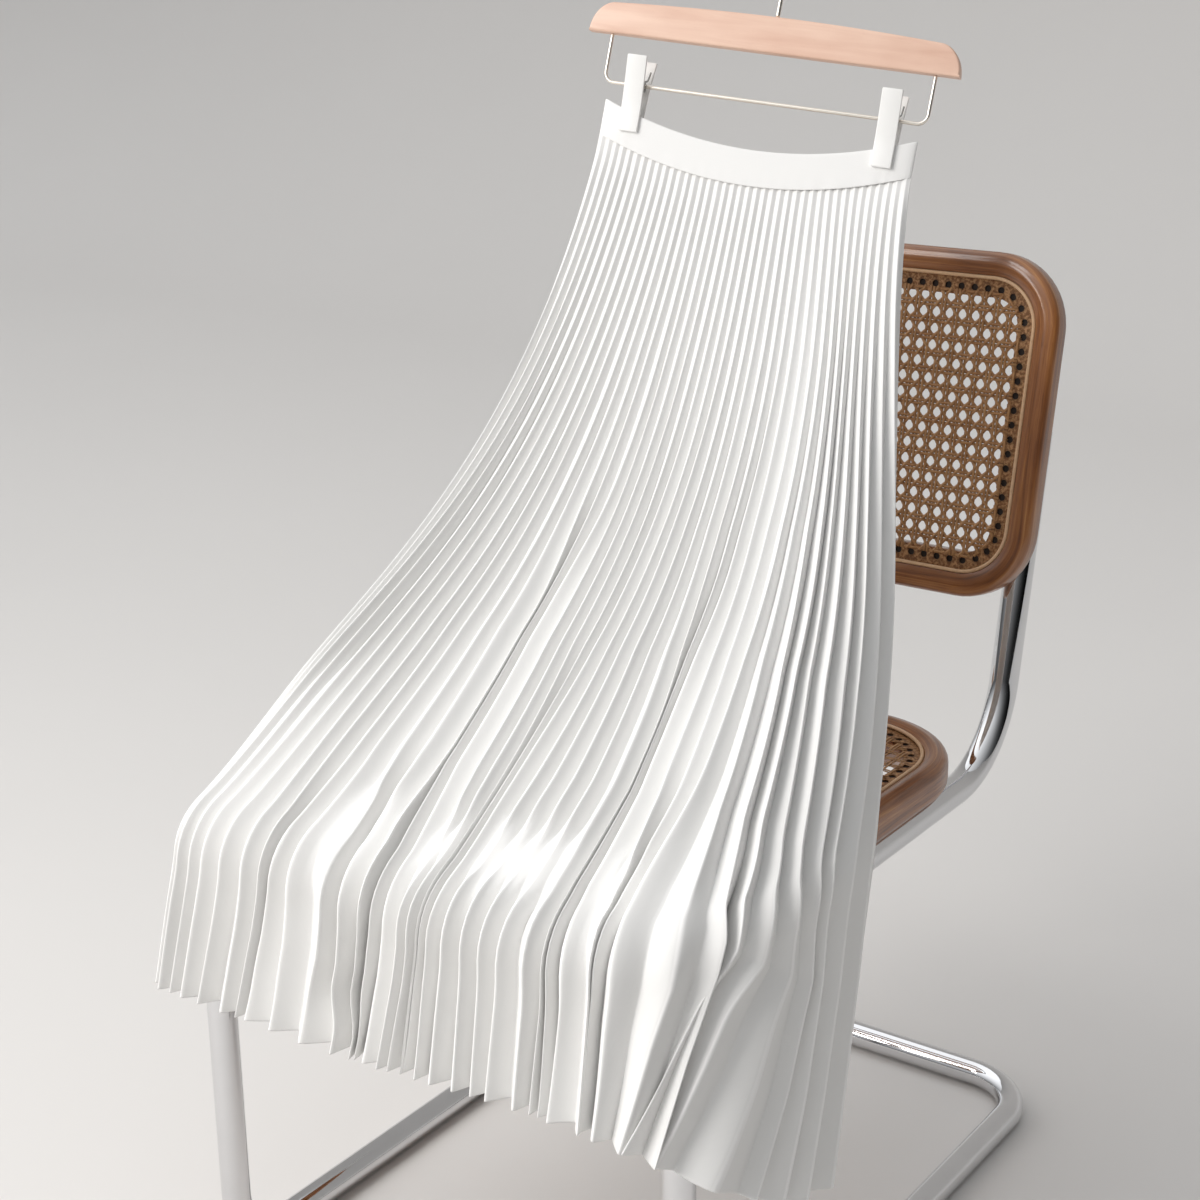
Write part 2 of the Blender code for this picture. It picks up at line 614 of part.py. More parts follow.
def stand_on_origin(origin):
    """Move everything so that the origin is the bottom centre of the whole."""
    bpy.context.view_layer.update()
    corners = []
    for item in bpy.data.objects:
        if item.type == "MESH":
            corners += [item.matrix_world @ vertex.co for vertex in item.data.vertices]
    corners = np.array(corners)
    low = corners.min(axis=0)
    high = corners.max(axis=0)
    origin.location = (-(low[0] + high[0]) / 2, -(low[1] + high[1]) / 2, -low[2])
    bpy.context.view_layer.update()


def main():
    clear_scene()
    origin = add_empty("origin", None)
    hanger = add_empty("hanger", origin)
    hanger.location = HANGER_PLACE
    hanger.rotation_euler = Euler((-HANGER_TILT, HANGER_ROLL, HANGER_TURN))
    build_tubes(origin)
    build_seat_and_back(origin)
    build_hanger(hanger)
    build_waistband(hanger)
    build_skirt(Matrix.LocRotScale(hanger.location, hanger.rotation_euler, None), origin)
    stand_on_origin(origin)


main()
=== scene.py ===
# Looks of a pleated midi skirt that hangs from a clip hanger and lies over a cane chair.
# Metres, +Z up, +Y towards the back of the chair, +X to the sitter's left.
import math

import bpy
import numpy as np
from mathutils import Euler, Matrix, Vector


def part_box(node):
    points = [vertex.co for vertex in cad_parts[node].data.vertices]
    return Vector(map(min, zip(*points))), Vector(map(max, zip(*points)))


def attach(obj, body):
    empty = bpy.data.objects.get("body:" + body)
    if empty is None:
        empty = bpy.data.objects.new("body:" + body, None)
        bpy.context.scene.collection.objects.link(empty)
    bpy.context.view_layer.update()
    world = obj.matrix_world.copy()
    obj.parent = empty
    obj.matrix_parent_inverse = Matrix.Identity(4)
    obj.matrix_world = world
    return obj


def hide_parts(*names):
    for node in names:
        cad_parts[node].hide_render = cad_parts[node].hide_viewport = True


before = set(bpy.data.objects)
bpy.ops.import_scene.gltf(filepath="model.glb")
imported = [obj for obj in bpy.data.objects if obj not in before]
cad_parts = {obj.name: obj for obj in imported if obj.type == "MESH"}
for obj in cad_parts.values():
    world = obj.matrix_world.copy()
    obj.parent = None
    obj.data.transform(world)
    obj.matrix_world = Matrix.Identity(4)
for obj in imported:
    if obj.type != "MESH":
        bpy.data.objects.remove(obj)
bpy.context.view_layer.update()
print("frame loaded:", len(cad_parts), "nodes")

gap = 0.0003                 # clearance between pieces that touch
tubeRadius = 0.0125          # the chair's bent tube

legBoxes = [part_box("leg_" + side) for side in ("left", "right")]
chairPlace = np.array([(legBoxes[0][1].x + legBoxes[1][0].x) / 2, legBoxes[0][0].y + tubeRadius, 0.0])

hanger = {
    "place": (0.0325, 0.4332, 1.0063),   # middle of the bar, from the chair's own zero
    "tilt": 16,                          # degrees forwards at the top of the bar
    "roll": 6.25,                        # degrees down towards the sitter's left
    "turn": 16,                          # degrees round the upright
}
hangerAngles = [math.radians(degrees) for degrees in (-hanger["tilt"], hanger["roll"], hanger["turn"])]
hangerTurn = np.array(Euler(hangerAngles).to_matrix())


def fromHanger(points):
    return points @ hangerTurn.T + np.array(hanger["place"]) + chairPlace


class Wire:
    # an output of a material's node; arithmetic on it adds Math nodes

    def __init__(self, tree, socket=None):
        self.tree = tree
        self.socket = socket

    def node(self, kind, settings=None, sockets=None, output=0):
        # settings first, then the values or links of its sockets; stops are a ramp's (place, colour)
        made = self.tree.nodes.new(kind)
        for name, value in (settings or {}).items():
            if name == "stops":
                while len(made.color_ramp.elements) < len(value):
                    made.color_ramp.elements.new(0.5)
                for element, (position, colour) in zip(made.color_ramp.elements, value):
                    element.position = position
                    element.color = (*colour, 1.0)
            else:
                setattr(made, name, value)
        for key, value in (sockets or {}).items():
            if isinstance(value, Wire):
                self.tree.links.new(value.socket, made.inputs[key])
            else:
                made.inputs[key].default_value = value
        return Wire(self.tree, made.outputs[output] if len(made.outputs) else None)

    def maths(self, operation, first, second=0.0):
        return self.node("ShaderNodeMath", {"operation": operation}, {0: first, 1: second})

    def __add__(self, other):
        return self.maths("ADD", self, other)

    __radd__ = __add__

    def __sub__(self, other):
        return self.maths("SUBTRACT", self, other)

    def __rsub__(self, other):
        return self.maths("SUBTRACT", other, self)

    def __mul__(self, other):
        return self.maths("MULTIPLY", self, other)

    __rmul__ = __mul__

    def sine(self):
        return self.maths("SINE", self)

    def limited(self):
        return self.node("ShaderNodeMapRange", {"clamp": True}, {"Value": self}, 0)


def startFinish(name):
    made = bpy.data.materials.new(name)
    made.use_nodes = True
    made.node_tree.nodes.clear()
    return made, Wire(made.node_tree)


def endFinish(start, sockets):
    shader = start.node("ShaderNodeBsdfPrincipled", None, sockets)
    start.node("ShaderNodeOutputMaterial", None, {"Surface": shader})


def placed(start, source, scale):
    # object or UV coordinates, stretched by scale
    coordinates = start.node("ShaderNodeTexCoord", None, None, source)
    return start.node("ShaderNodeMapping", None, {"Vector": coordinates, "Scale": scale})


def noise(start, source, scale, detail=3.0, roughness=0.55, distortion=0.0):
    # soft noise on stretched coordinates, one lump for each unit of them
    return start.node("ShaderNodeTexNoise", None, {
        "Vector": placed(start, source, scale), "Scale": 1.0, "Detail": detail, "Roughness": roughness,
        "Distortion": distortion})


def blend(start, share, first, second):
    return start.node("ShaderNodeMix", {"data_type": "RGBA"}, {0: share, 6: (*first, 1), 7: (*second, 1)}, 2)


def bump(start, height, depth, strength=1.0):
    return start.node("ShaderNodeBump", None, {"Height": height, "Distance": depth, "Strength": strength})


def clothFinish():
    # fine plain weave with a lengthwise grain and a soft sheen; the outer folds, at odd
    # numbers of the second layer, get a lighter base colour, a painted highlight along the folds' edges
    made, start = startFinish("pleatedCloth")
    grain = noise(start, "UV", (900, 25, 1), 2.0)
    broad = noise(start, "UV", (30, 6, 1), 2.0)
    weave = noise(start, "UV", (1700, 1700, 1), 1.0)
    counted = start.node("ShaderNodeUVMap", {"uv_map": "folds"})
    wave = (start.node("ShaderNodeSeparateXYZ", None, {0: counted}, 0) * math.pi + math.pi / 2).sine()
    # pressed: the painted highlight, a lighter base colour along each outer fold's edge
    pressed = ((wave * -1.0 - 0.93) * 16.0).limited()
    tone = ((grain * 0.5 + broad * 0.5) * 0.3 + pressed * 0.85).limited()
    endFinish(start, {
        # the lighter colour serves both the grain's lighter tone and the painted highlight on the outer folds
        "Base Color": blend(start, tone, (0.82, 0.815, 0.803), (0.955, 0.95, 0.94)),
        "Roughness": 0.70 + 0.12 * grain,
        "Sheen Weight": 0.12,
        "Sheen Roughness": 0.4,
        "Specular IOR Level": 0.15,
        "Normal": bump(start, weave * 0.35 + grain * 0.65, 0.00012, 0.6),
    })
    return made


def bandFinish():
    # fine ribs that run along the band, under a fuzz
    made, start = startFinish("bandElastic")
    level = start.node("ShaderNodeSeparateXYZ", None, {0: placed(start, "UV", (1, 1, 1))}, 1)
    fuzz = noise(start, "UV", (1500, 1500, 1), 2.0)
    endFinish(start, {
        "Base Color": blend(start, fuzz, (0.86, 0.855, 0.845), (0.91, 0.905, 0.895)),
        "Roughness": 0.7,
        "Sheen Weight": 0.2,
        "Sheen Roughness": 0.5,
        "Normal": bump(start, (level * 4200.0).sine() * 0.15 + fuzz, 0.0001, 0.5),
    })
    return made


def beechFinish():
    # long soft figure with short darker flecks, under satin lacquer
    made, start = startFinish("paleBeech")
    figure = noise(start, "UV", (11, 120, 1), 3.0, 0.5, 0.8)
    patch = noise(start, "UV", (14, 30, 1), 2.0)
    fleck = noise(start, "UV", (160, 1100, 1), 2.0)
    dark = ((fleck - 0.60) * 4.0).limited()
    tone = ((figure * 0.55 + patch * 0.45) * 2.4 - 0.75).limited()
    endFinish(start, {
        "Base Color": blend(start, (tone + dark * 0.3).limited(), (0.86, 0.61, 0.48), (0.70, 0.43, 0.32)),
        "Roughness": 0.40 + 0.14 * figure,
        "Coat Weight": 0.2,
        "Coat Roughness": 0.3,
        "Normal": bump(start, figure - dark * 0.5, 0.0002, 0.3),
    })
    return made


def woodFinish():
    # grain runs along each side of the surround; darker pores and a satin coat
    made, start = startFinish("stainedWood")
    grain = noise(start, "UV", (7, 240, 1), 5.0, 0.62, 0.9)
    pores = noise(start, "UV", (60, 1500, 1), 3.0)
    cloud = noise(start, "UV", (9, 26, 1), 2.0)
    pore = ((pores - 0.58) * 6.0).limited()
    tone = ((grain * 0.75 + cloud * 0.5) * 2.3 - 0.9).limited()
    colour = start.node("ShaderNodeValToRGB", {"stops": (
        (0.0, (0.085, 0.024, 0.006)), (0.35, (0.20, 0.065, 0.016)), (0.7, (0.34, 0.13, 0.036)),
        (1.0, (0.50, 0.235, 0.080)))}, {"Fac": (tone - pore * 0.35).limited()})
    endFinish(start, {
        "Base Color": colour,
        "Roughness": 0.28 + 0.14 * grain + 0.1 * pore,
        "Coat Weight": 0.6,
        "Coat Roughness": 0.14,
        "Normal": bump(start, grain - pore * 0.6, 0.00025, 0.4),
    })
    return made


def caneFinish(name, dark, light):
    # each strand has a tone of its own, from the second UV number, and all have a fine speckle
    made, start = startFinish(name)
    strand = noise(start, "UV", (4, 90, 1), 1.0)
    fibre = noise(start, "Object", (300, 300, 300), 3.0)
    endFinish(start, {
        "Base Color": blend(start, ((strand * 0.75 + fibre * 0.55) * 1.8 - 0.65).limited(), dark, light),
        "Roughness": 0.42 + 0.2 * fibre,
        "Coat Weight": 0.15,
        "Coat Roughness": 0.3,
        "Normal": bump(start, fibre, 0.0002, 0.35),
    })
    return made


def bindingFinish():
    # speckled strip under the ends of the strands; near black where the second UV number marks a hole, a
    # painted shade on the hole's wall and floor
    made, start = startFinish("caneBinding")
    speckle = noise(start, "Object", (420, 420, 420), 3.0)
    shade = ((speckle - 0.42) * 5.0).limited()
    hole = start.node("ShaderNodeSeparateXYZ", None, {0: placed(start, "UV", (1, 1, 1))}, 1)
    strip = blend(start, shade, (0.20, 0.085, 0.028), (0.50, 0.27, 0.12))
    # inside: near-black painted shade for the depth of each hole
    inside = (0.012, 0.005, 0.002, 1)
    colour = start.node("ShaderNodeMix", {"data_type": "RGBA"}, {0: hole, 6: strip, 7: inside}, 2)
    endFinish(start, {
        "Base Color": colour,
        "Roughness": 0.5 + 0.2 * speckle,
        "Normal": bump(start, speckle, 0.0003, 0.4),
    })
    return made


def metalFinish(name, colour, roughness, scratch):
    # plated metal, hazy in places
    made, start = startFinish(name)
    haze = noise(start, "Object", (35, 35, 35), 4.0)
    fine = noise(start, "Object", (700, 700, 700), 2.0)
    lighter = tuple(min(1.0, c * 1.08) for c in colour)
    endFinish(start, {
        "Base Color": blend(start, haze, colour, lighter),
        "Metallic": 1.0,
        "Roughness": roughness + scratch * haze,
        "Normal": bump(start, fine, 0.00002, 0.15),
    })
    return made


def plasticFinish():
    # white moulded plastic with a fine grit
    made, start = startFinish("whitePlastic")
    mottle = noise(start, "Object", (60, 60, 60), 3.0)
    grit = noise(start, "Object", (2200, 2200, 2200), 1.0)
    endFinish(start, {
        "Base Color": blend(start, mottle, (0.90, 0.895, 0.88), (0.94, 0.935, 0.92)),
        "Roughness": 0.34 + 0.1 * mottle,
        "Coat Weight": 0.2,
        "Coat Roughness": 0.25,
        "Normal": bump(start, grit, 0.00003, 0.3),
    })
    return made


finishes = {
    "cloth": (clothFinish(), "pleated_cloth"),
    "band": (bandFinish(), "waistband_elastic"),
    "beech": (beechFinish(), "beech"),
    "wire": (metalFinish("steelWire", (0.86, 0.81, 0.73), 0.26, 0.12), "steel_wire"),
    "plastic": (plasticFinish(), "clip_plastic"),
    "spring": (metalFinish("springSteel", (0.34, 0.35, 0.34), 0.35, 0.1), "steel_wire"),
    "chrome": (metalFinish("chromeTube", (0.70, 0.70, 0.71), 0.03, 0.05), "chrome_tube"),
    "wood": (woodFinish(), "stained_wood"),
    "cane": (caneFinish("wovenCane", (0.33, 0.145, 0.048), (0.58, 0.32, 0.14)), "woven_cane"),
    "bead": (caneFinish("caneBead", (0.62, 0.37, 0.19), (0.82, 0.57, 0.36)), "woven_cane"),
    "binding": (bindingFinish(), "woven_cane"),
}
print("finishes made:", len(finishes))


def gridQuads(rows, columns, closedRows=False, closedColumns=False):
    # corners of the faces of a grid whose points are counted row by row
    i, j = np.meshgrid(np.arange(rows if closedRows else rows - 1),
                       np.arange(columns if closedColumns else columns - 1), indexing="ij")
    below, right = (i + 1) % rows, (j + 1) % columns
    return np.stack([i * columns + j, i * columns + right, below * columns + right, below * columns + j],
                    axis=-1).reshape(-1, 4)


def signedVolume(points, quads):
    a, b, c, d = (points[quads[:, k]] for k in range(4))
    return ((a * np.cross(b, c)).sum() + (a * np.cross(c, d)).sum()) / 6


def addPiece(name, points, quads, finish, replaced=(), uv=None, caps=(), sharp=None, second=None):
    # uv is one pair for each point, or one for each corner of the quads; second is one more pair for
    # each point, in a layer of its own
    mesh = bpy.data.meshes.new(name)
    loops = np.concatenate([quads.ravel(), *[np.asarray(cap) for cap in caps]]).astype(np.int32)
    sizes = np.array([4] * len(quads) + [len(cap) for cap in caps])
    mesh.vertices.add(len(points))
    mesh.vertices.foreach_set("co", np.asarray(points, np.float32).ravel())
    mesh.loops.add(len(loops))
    mesh.loops.foreach_set("vertex_index", loops)
    mesh.polygons.add(len(sizes))
    mesh.polygons.foreach_set("loop_start", np.concatenate([[0], np.cumsum(sizes)[:-1]]).astype(np.int32))
    if uv is not None:
        corners = uv[loops] if len(uv) == len(points) else uv
        layer = mesh.uv_layers.new(name="UVMap")
        layer.data.foreach_set("uv", np.asarray(corners, np.float32).ravel())
    if second is not None:
        layer = mesh.uv_layers.new(name="folds")
        layer.data.foreach_set("uv", np.asarray(second[loops], np.float32).ravel())
    mesh.update(calc_edges=True)
    mesh.shade_smooth()
    if sharp is not None:
        mesh.set_sharp_from_angle(angle=math.radians(sharp))
    piece = bpy.data.objects.new(name, mesh)
    bpy.context.scene.collection.objects.link(piece)
    material, slot = finishes[finish]
    mesh.materials.append(material)
    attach(piece, "root")
    if replaced:
        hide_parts(*replaced)
    return piece


def joined(shapes):
    # several (points, quads, uv) as one, each uv one pair for each point
    starts = np.cumsum([0] + [len(points) for points, quads, uv in shapes[:-1]])
    return (np.concatenate([points for points, quads, uv in shapes]),
            np.concatenate([quads + start for (points, quads, uv), start in zip(shapes, starts)]),
            np.concatenate([uv for points, quads, uv in shapes]))


def ramp(value, start, end):
    # 0 before start, 1 after end, and an S between
    t = np.clip((value - start) / (end - start), 0, 1)
    return t * t * (3 - 2 * t)


def hermite(knots, values, at):
    # smooth curve through values at the knots, its slope at each that of its neighbours' chord
    knots, values = np.asarray(knots, float), np.asarray(values, float)
    slopes = np.gradient(values, knots, axis=0)
    index = np.clip(np.searchsorted(knots, at, side="right") - 1, 0, len(knots) - 2)
    step = (knots[index + 1] - knots[index])[:, None]
    t = (at - knots[index])[:, None] / step
    return ((2 * t**3 - 3 * t**2 + 1) * values[index] + (t**3 - 2 * t**2 + t) * step * slopes[index]
            + (3 * t**2 - 2 * t**3) * values[index + 1] + (t**3 - t**2) * step * slopes[index + 1])


def roundedPath(corners, radii, steps=14):
    # the corners' polygon with an arc of each radius in place of each inner corner
    corners = np.asarray(corners, float)
    path = [corners[:1]]
    for before, corner, after, radius in zip(corners, corners[1:], corners[2:], radii):
        back = (before - corner) / np.linalg.norm(before - corner)
        ahead = (after - corner) / np.linalg.norm(after - corner)
        half = math.acos(np.clip(back @ ahead, -1, 1)) / 2
        middle = (back + ahead) / np.linalg.norm(back + ahead)
        centre = corner + middle * radius / math.sin(half)
        sideways = (ahead - back) / np.linalg.norm(ahead - back)
        angle = np.linspace(half - math.pi / 2, math.pi / 2 - half, steps + 1)[:, None]
        path.append(centre + radius * (np.sin(angle) * sideways - np.cos(angle) * middle))
    path.append(corners[-1:])
    return np.concatenate(path)


def easedEnds(path, radius, ease, steps=4):
    # path and radii with both ends rounded by ease: near an end the radius follows a quarter circle
    angle = np.linspace(0, math.pi / 2, steps + 1)[:, None]
    first = (path[1] - path[0]) / np.linalg.norm(path[1] - path[0])
    last = (path[-2] - path[-1]) / np.linalg.norm(path[-2] - path[-1])
    inward = ease * (1 - np.cos(angle))
    ring = radius - ease + ease * np.sin(angle[:, 0])
    whole = np.concatenate([path[0] + first * inward, path[1:-1], (path[-1] + last * inward)[::-1]])
    return whole, np.concatenate([ring, np.full(len(path) - 2, radius), ring[::-1]])


def carriedFrames(path):
    # two directions square to the path, turned as little as possible from one point to the next
    ahead = np.gradient(path, axis=0)
    ahead /= np.linalg.norm(ahead, axis=1, keepdims=True)
    normal = np.cross(ahead[0], (0.36, 0.48, 0.8))
    normals = []
    for direction in ahead:
        normal = normal - direction * (normal @ direction)
        normal = normal / np.linalg.norm(normal)
        normals.append(normal)
    normals = np.array(normals)
    return normals, np.cross(ahead, normals)


def cappedRings(rings):
    # rings of points in a row, joined and closed by a flat cap at each end, with faces outwards
    rows, columns = rings.shape[:2]
    points = rings.reshape(-1, 3)
    quads = gridQuads(rows, columns, closedColumns=True)
    caps = [np.arange(columns), np.arange(columns)[::-1] + (rows - 1) * columns]
    if signedVolume(points, quads) < 0:
        quads = quads[:, ::-1]
    else:
        caps = [cap[::-1] for cap in caps]
    return points, quads, caps


def tubeAlong(path, radius, sides, ease):
    # circles of the radius carried along the path, with rounded ends closed by flat caps
    path, radii = easedEnds(np.asarray(path, float), radius, ease)
    across, upwards = carriedFrames(path)
    angle = np.linspace(0, 2 * math.pi, sides, endpoint=False)[None, :, None]
    circle = np.cos(angle) * across[:, None] + np.sin(angle) * upwards[:, None]
    return cappedRings(path[:, None] + radii[:, None, None] * circle)


view = {
    "place": (0.9468, -1.0932, 1.1200),  # from the chair's own zero
    "yaw": 35.614,
    "pitch": 18.349,                     # degrees below the horizon
    "roll": -0.705,
    "lens": 63.95,
}


def addCamera():
    data = bpy.data.cameras.new("camera")
    data.lens = view["lens"]
    data.sensor_width = 36.0
    data.clip_start = 0.05
    camera = bpy.data.objects.new("camera", data)
    bpy.context.scene.collection.objects.link(camera)
    turn = (Matrix.Rotation(math.radians(view["yaw"]), 4, "Z")
            @ Matrix.Rotation(math.radians(90 - view["pitch"]), 4, "X")
            @ Matrix.Rotation(math.radians(view["roll"]), 4, "Z"))
    camera.matrix_world = Matrix.Translation(chairPlace + np.array(view["place"])) @ turn
    bpy.context.scene.camera = camera


addCamera()
print("camera placed")


band = {
    "left": -0.1315,         # ends of the flat band, along the hanger
    "right": 0.1315,
    "top": -0.065,           # below the middle of the hanger's bar
    "height": 0.029,
    "dip": 0.025,            # how far it hangs between the clips
    "depth": 0.0092,         # outside to outside, flattened
    "wall": 0.0018,
    "round": 0.0008,
    "pucker": 0.00015,       # depth of the gathers in its lower part
    "gathers": 95,           # on each side
    "puckered": (0.012, 0.026),
}

skirt = {
    "pleats": 40,
    "wall": 0.0012,          # of the solid
    "thickness": 0.0005,     # of the cloth shown
    "length": 0.775,
    "faceWaist": 0.0053,     # width of one face of a pleat
    "faceHem": 0.0185,
    "puff": 0.014,           # how far the front stands off the back over the seat
    "puffDown": (0.15, 0.7),     # levels between which it comes to stand off so far
    "pressed": 0.8,          # share of their depth that the back's pleats lose on the seat
    "turn": 0.017,           # cloth on each side of the seat's edge that the turn takes up
    "crest": 0.022,          # how far the crest there reaches up and down, as a share of the length
    "slopeShare": 0.45,      # where the points on the slope lie between the band and the edge
    "belly": (1.0, 0.7, 0.7),    # of the sag on each axis: below 1, fullest near the band
    "squareToBand": 0.22,    # the pleats stand square to the band above, and to the sheet from here
    "rows": 97,
    "hemRow": 0.9982,        # one more row, close to the hem
    "ridgeRound": 0.10,      # rounding of the pleats' outer and inner folds, as shares of a face
    "valleyRound": 0.05,
    "wander": 0.11,          # how far a fold strays sideways, in pleats
    "fan": 0.20,             # and how far more by the hem, in a straight line from fanStart down
    "fanStart": 0.81,
    "uneven": 0.08,          # how much shallower the shallowest pleats are
    "flattest": 0.25,        # least depth of a pleat, as a share of its face
    "topDepth": 0.55,        # share of their depth that the pleats have in the top of the skirt
    "bandLoss": 0.3,         # and the share of that which they lose right under the band
    "lyingDown": ((0.50, 0.66), (0.84, 0.94)),   # levels where the back comes to lie and leaves again
    "lyingAcross": (0.88, 0.98),                 # and where it leaves the seat at the right
    "tucked": 0.0012,        # length hidden inside the band
}

# pleats that the sheet is fitted through: place across, then points on the slope, at the seat's
# edge and at the hem
guides = (
    (0.00, (-0.118, 0.185, 0.650), (-0.198, -0.043, 0.437), (-0.218, -0.050, 0.308)),
    (0.08, (-0.096, 0.180, 0.640), (-0.176, -0.044, 0.436), (-0.200, -0.052, 0.307)),
    (0.22, (-0.040, 0.178, 0.630), (-0.093, -0.042, 0.4372), (-0.120, -0.052, 0.306)),
    (0.40, (0.041, 0.180, 0.625), (0.026, -0.044, 0.4363), (-0.005, -0.050, 0.307)),
    (0.55, (0.101, 0.182, 0.625), (0.090, -0.046, 0.437), (0.075, -0.054, 0.316)),
    (0.70, (0.163, 0.190, 0.630), (0.180, -0.044, 0.438), (0.172, -0.056, 0.321)),
    (0.78, (0.195, 0.203, 0.643), (0.232, -0.032, 0.446), (0.222, -0.060, 0.318)),
    (0.85, (0.210, 0.222, 0.650), (0.266, 0.015, 0.457), (0.262, -0.036, 0.288)),
    (0.92, (0.222, 0.250, 0.658), (0.282, 0.085, 0.468), (0.280, 0.028, 0.246)),
    (1.00, (0.230, 0.290, 0.668), (0.288, 0.165, 0.465), (0.295, 0.100, 0.229)),
)

# how far the pleats stray to the right of their even places: place across, then a shift for each
# of the levels
driftLevels = (0.0, 0.2, 0.4, 0.55, 0.7, 0.8, 0.9, 1.0)
drifts = (
    (0.00, (0, 0, 0, 0, 0, 0, 0, 0)),
    (0.20, (0, 0, 0, 0, 0.010, 0.022, 0.028, 0.026)),
    (0.33, (0, 0, 0.006, 0.006, 0.022, 0.052, 0.066, 0.064)),
    (0.44, (0, 0, 0.004, 0.002, 0.018, 0.032, 0.040, 0.046)),
    (0.65, (0, 0, -0.006, 0, 0.022, 0.022, 0.030, 0.034)),
    (0.73, (0, 0, -0.008, -0.006, 0.006, 0.002, 0.012, 0.024)),
    (0.81, (0, -0.004, -0.014, -0.014, -0.004, 0.014, 0.004, -0.002)),
    (0.865, (0, -0.008, -0.018, -0.024, -0.012, 0.008, -0.008, -0.026)),
    (0.91, (0, -0.010, -0.018, -0.022, -0.016, -0.002, -0.010, -0.026)),
    (0.95, (0, -0.010, -0.022, -0.028, -0.030, -0.024, -0.024, -0.028)),
    (0.975, (0, -0.006, -0.014, -0.020, -0.022, -0.018, -0.018, -0.020)),
    (1.00, (0, 0, 0, 0, 0, 0, 0, 0)),
)

# deep folds of the front, each a pleat whose inner fold drops to the back while its neighbours
# close over it: place across, shares of the way down where it starts, is deepest and ends, depth,
# and how strongly the pleats crowd in
folds = (
    (0.200, 0.72, 0.84, 1.20, 0.009, 0.60),
    (0.268, 0.68, 0.79, 0.92, 0.011, 0.70),
    (0.300, 0.80, 0.92, 1.20, 0.014, 0.45),
    (0.330, 0.36, 0.52, 1.20, 0.018, 0.84),
    (0.425, 0.80, 0.92, 1.20, 0.014, 0.45),
    (0.450, 0.52, 0.72, 1.20, 0.018, 0.84),
    (0.650, 0.44, 0.64, 1.20, 0.018, 0.83),
    (0.730, 0.66, 0.80, 1.20, 0.015, 0.85),
    (0.815, 0.72, 0.86, 1.20, 0.018, 0.80),
)
trough = {
    "width": 0.020,          # of the shallow trough round each fold
    "share": 0.25,           # of the fold's depth
    "beside": (2.2, 3.2),    # reach of the crowding to the left and right, in lines
    "overlap": 0.30,         # how much further the right-hand neighbours come
    "looser": 0.25,          # share of the crowding lost towards the hem
    "looserDown": (0.84, 0.98),
    "closesIn": 0.06,        # length of a fold's end, as a share of the way down
    "leanReach": 5,          # lines beside a fold that shift along to bring it to its place
    "under": 0.85,           # how far the fold goes in under its left-hand neighbour, in lines
    "lift": (0.0032, 0.0006),    # rise of the neighbours to the left and right
}

# broad bulge of the skirt's left edge over the seat
bulge = {
    "out": 0.018,
    "level": 0.64,           # where it is strongest
    "reach": (0.28, 0.12),   # upwards and downwards from there
    "width": 0.13,
}

# levels round which the rows of the cloth lie closer together: place, reach, how much closer; and
# the places of its points along one face of a pleat, closest at the folds
denserRows = ((0.80, 0.07, 1.3), (0.0, 0.05, 0.8))
faceSteps = (0, 0.06, 0.2, 0.5, 0.8, 0.94)

# stretches where the cloth is smoothed over the seat's edge: place across, half width, place down,
# half length, share of the pleats' depth lost
ragged = {"depth": 0.010, "pace": 260}     # waves of their upper and lower ends
raised = 0.6                 # share of the lost depth by which the smoothed cloth is higher
smoothed = (
    (0.050, 0.100, 0.750, 0.120, 0.72),
    (0.300, 0.035, 0.790, 0.035, 0.90),
    (0.430, 0.030, 0.790, 0.035, 0.92),
    (0.575, 0.075, 0.790, 0.038, 0.95),
    (0.715, 0.022, 0.800, 0.035, 0.90),
    (0.795, 0.022, 0.800, 0.030, 0.50),
)


def lineNoise(seed, lines, down):
    # for each line a sum of four slow sine waves down the cloth, with its own sizes and starts
    random = np.random.default_rng(seed)
    size = random.normal(0, 1, (4, 1, lines)) / np.array([1.0, 1.4, 2.2, 3.2])[:, None, None]
    start = random.uniform(0, 2 * math.pi, (4, 1, lines))
    pace = np.array([1.5, 4.0, 8.0, 14.0])[:, None, None]
    return (size * np.sin(pace * down[None, :, None] + start)).sum(axis=0) / 1.3


def bandLine(across, height):
    # middle of the band in the hanger's frame; height is 0 at its top and 1 at its lower edge
    along = band["left"] + (band["right"] - band["left"]) * across
    dip = band["dip"] * (1 - (2 * across - 1) ** 2)
    return np.stack([along, np.zeros_like(along), band["top"] - dip - band["height"] * height], axis=-1)


def sagShape(share):
    # sag of the sheet on each axis, none at the band and at the seat's edge
    return np.sin(math.pi * share ** np.array(skirt["belly"]))


def alongColumns(path, shares):
    # points at the given shares of each column's length
    steps = np.linalg.norm(np.diff(path, axis=0), axis=2)
    length = np.concatenate([np.zeros((1, path.shape[1])), np.cumsum(steps, axis=0)])
    wanted = shares[:, None] * length[-1]
    index = np.clip((length[:, None] <= wanted[None]).sum(axis=0) - 1, 0, len(path) - 2)
    start = np.take_along_axis(length, index, axis=0)
    step = np.take_along_axis(length, index + 1, axis=0) - start
    first = np.take_along_axis(path, index[:, :, None], axis=0)
    second = np.take_along_axis(path, index[:, :, None] + 1, axis=0)
    return first + (second - first) * ((wanted - start) / step)[:, :, None]


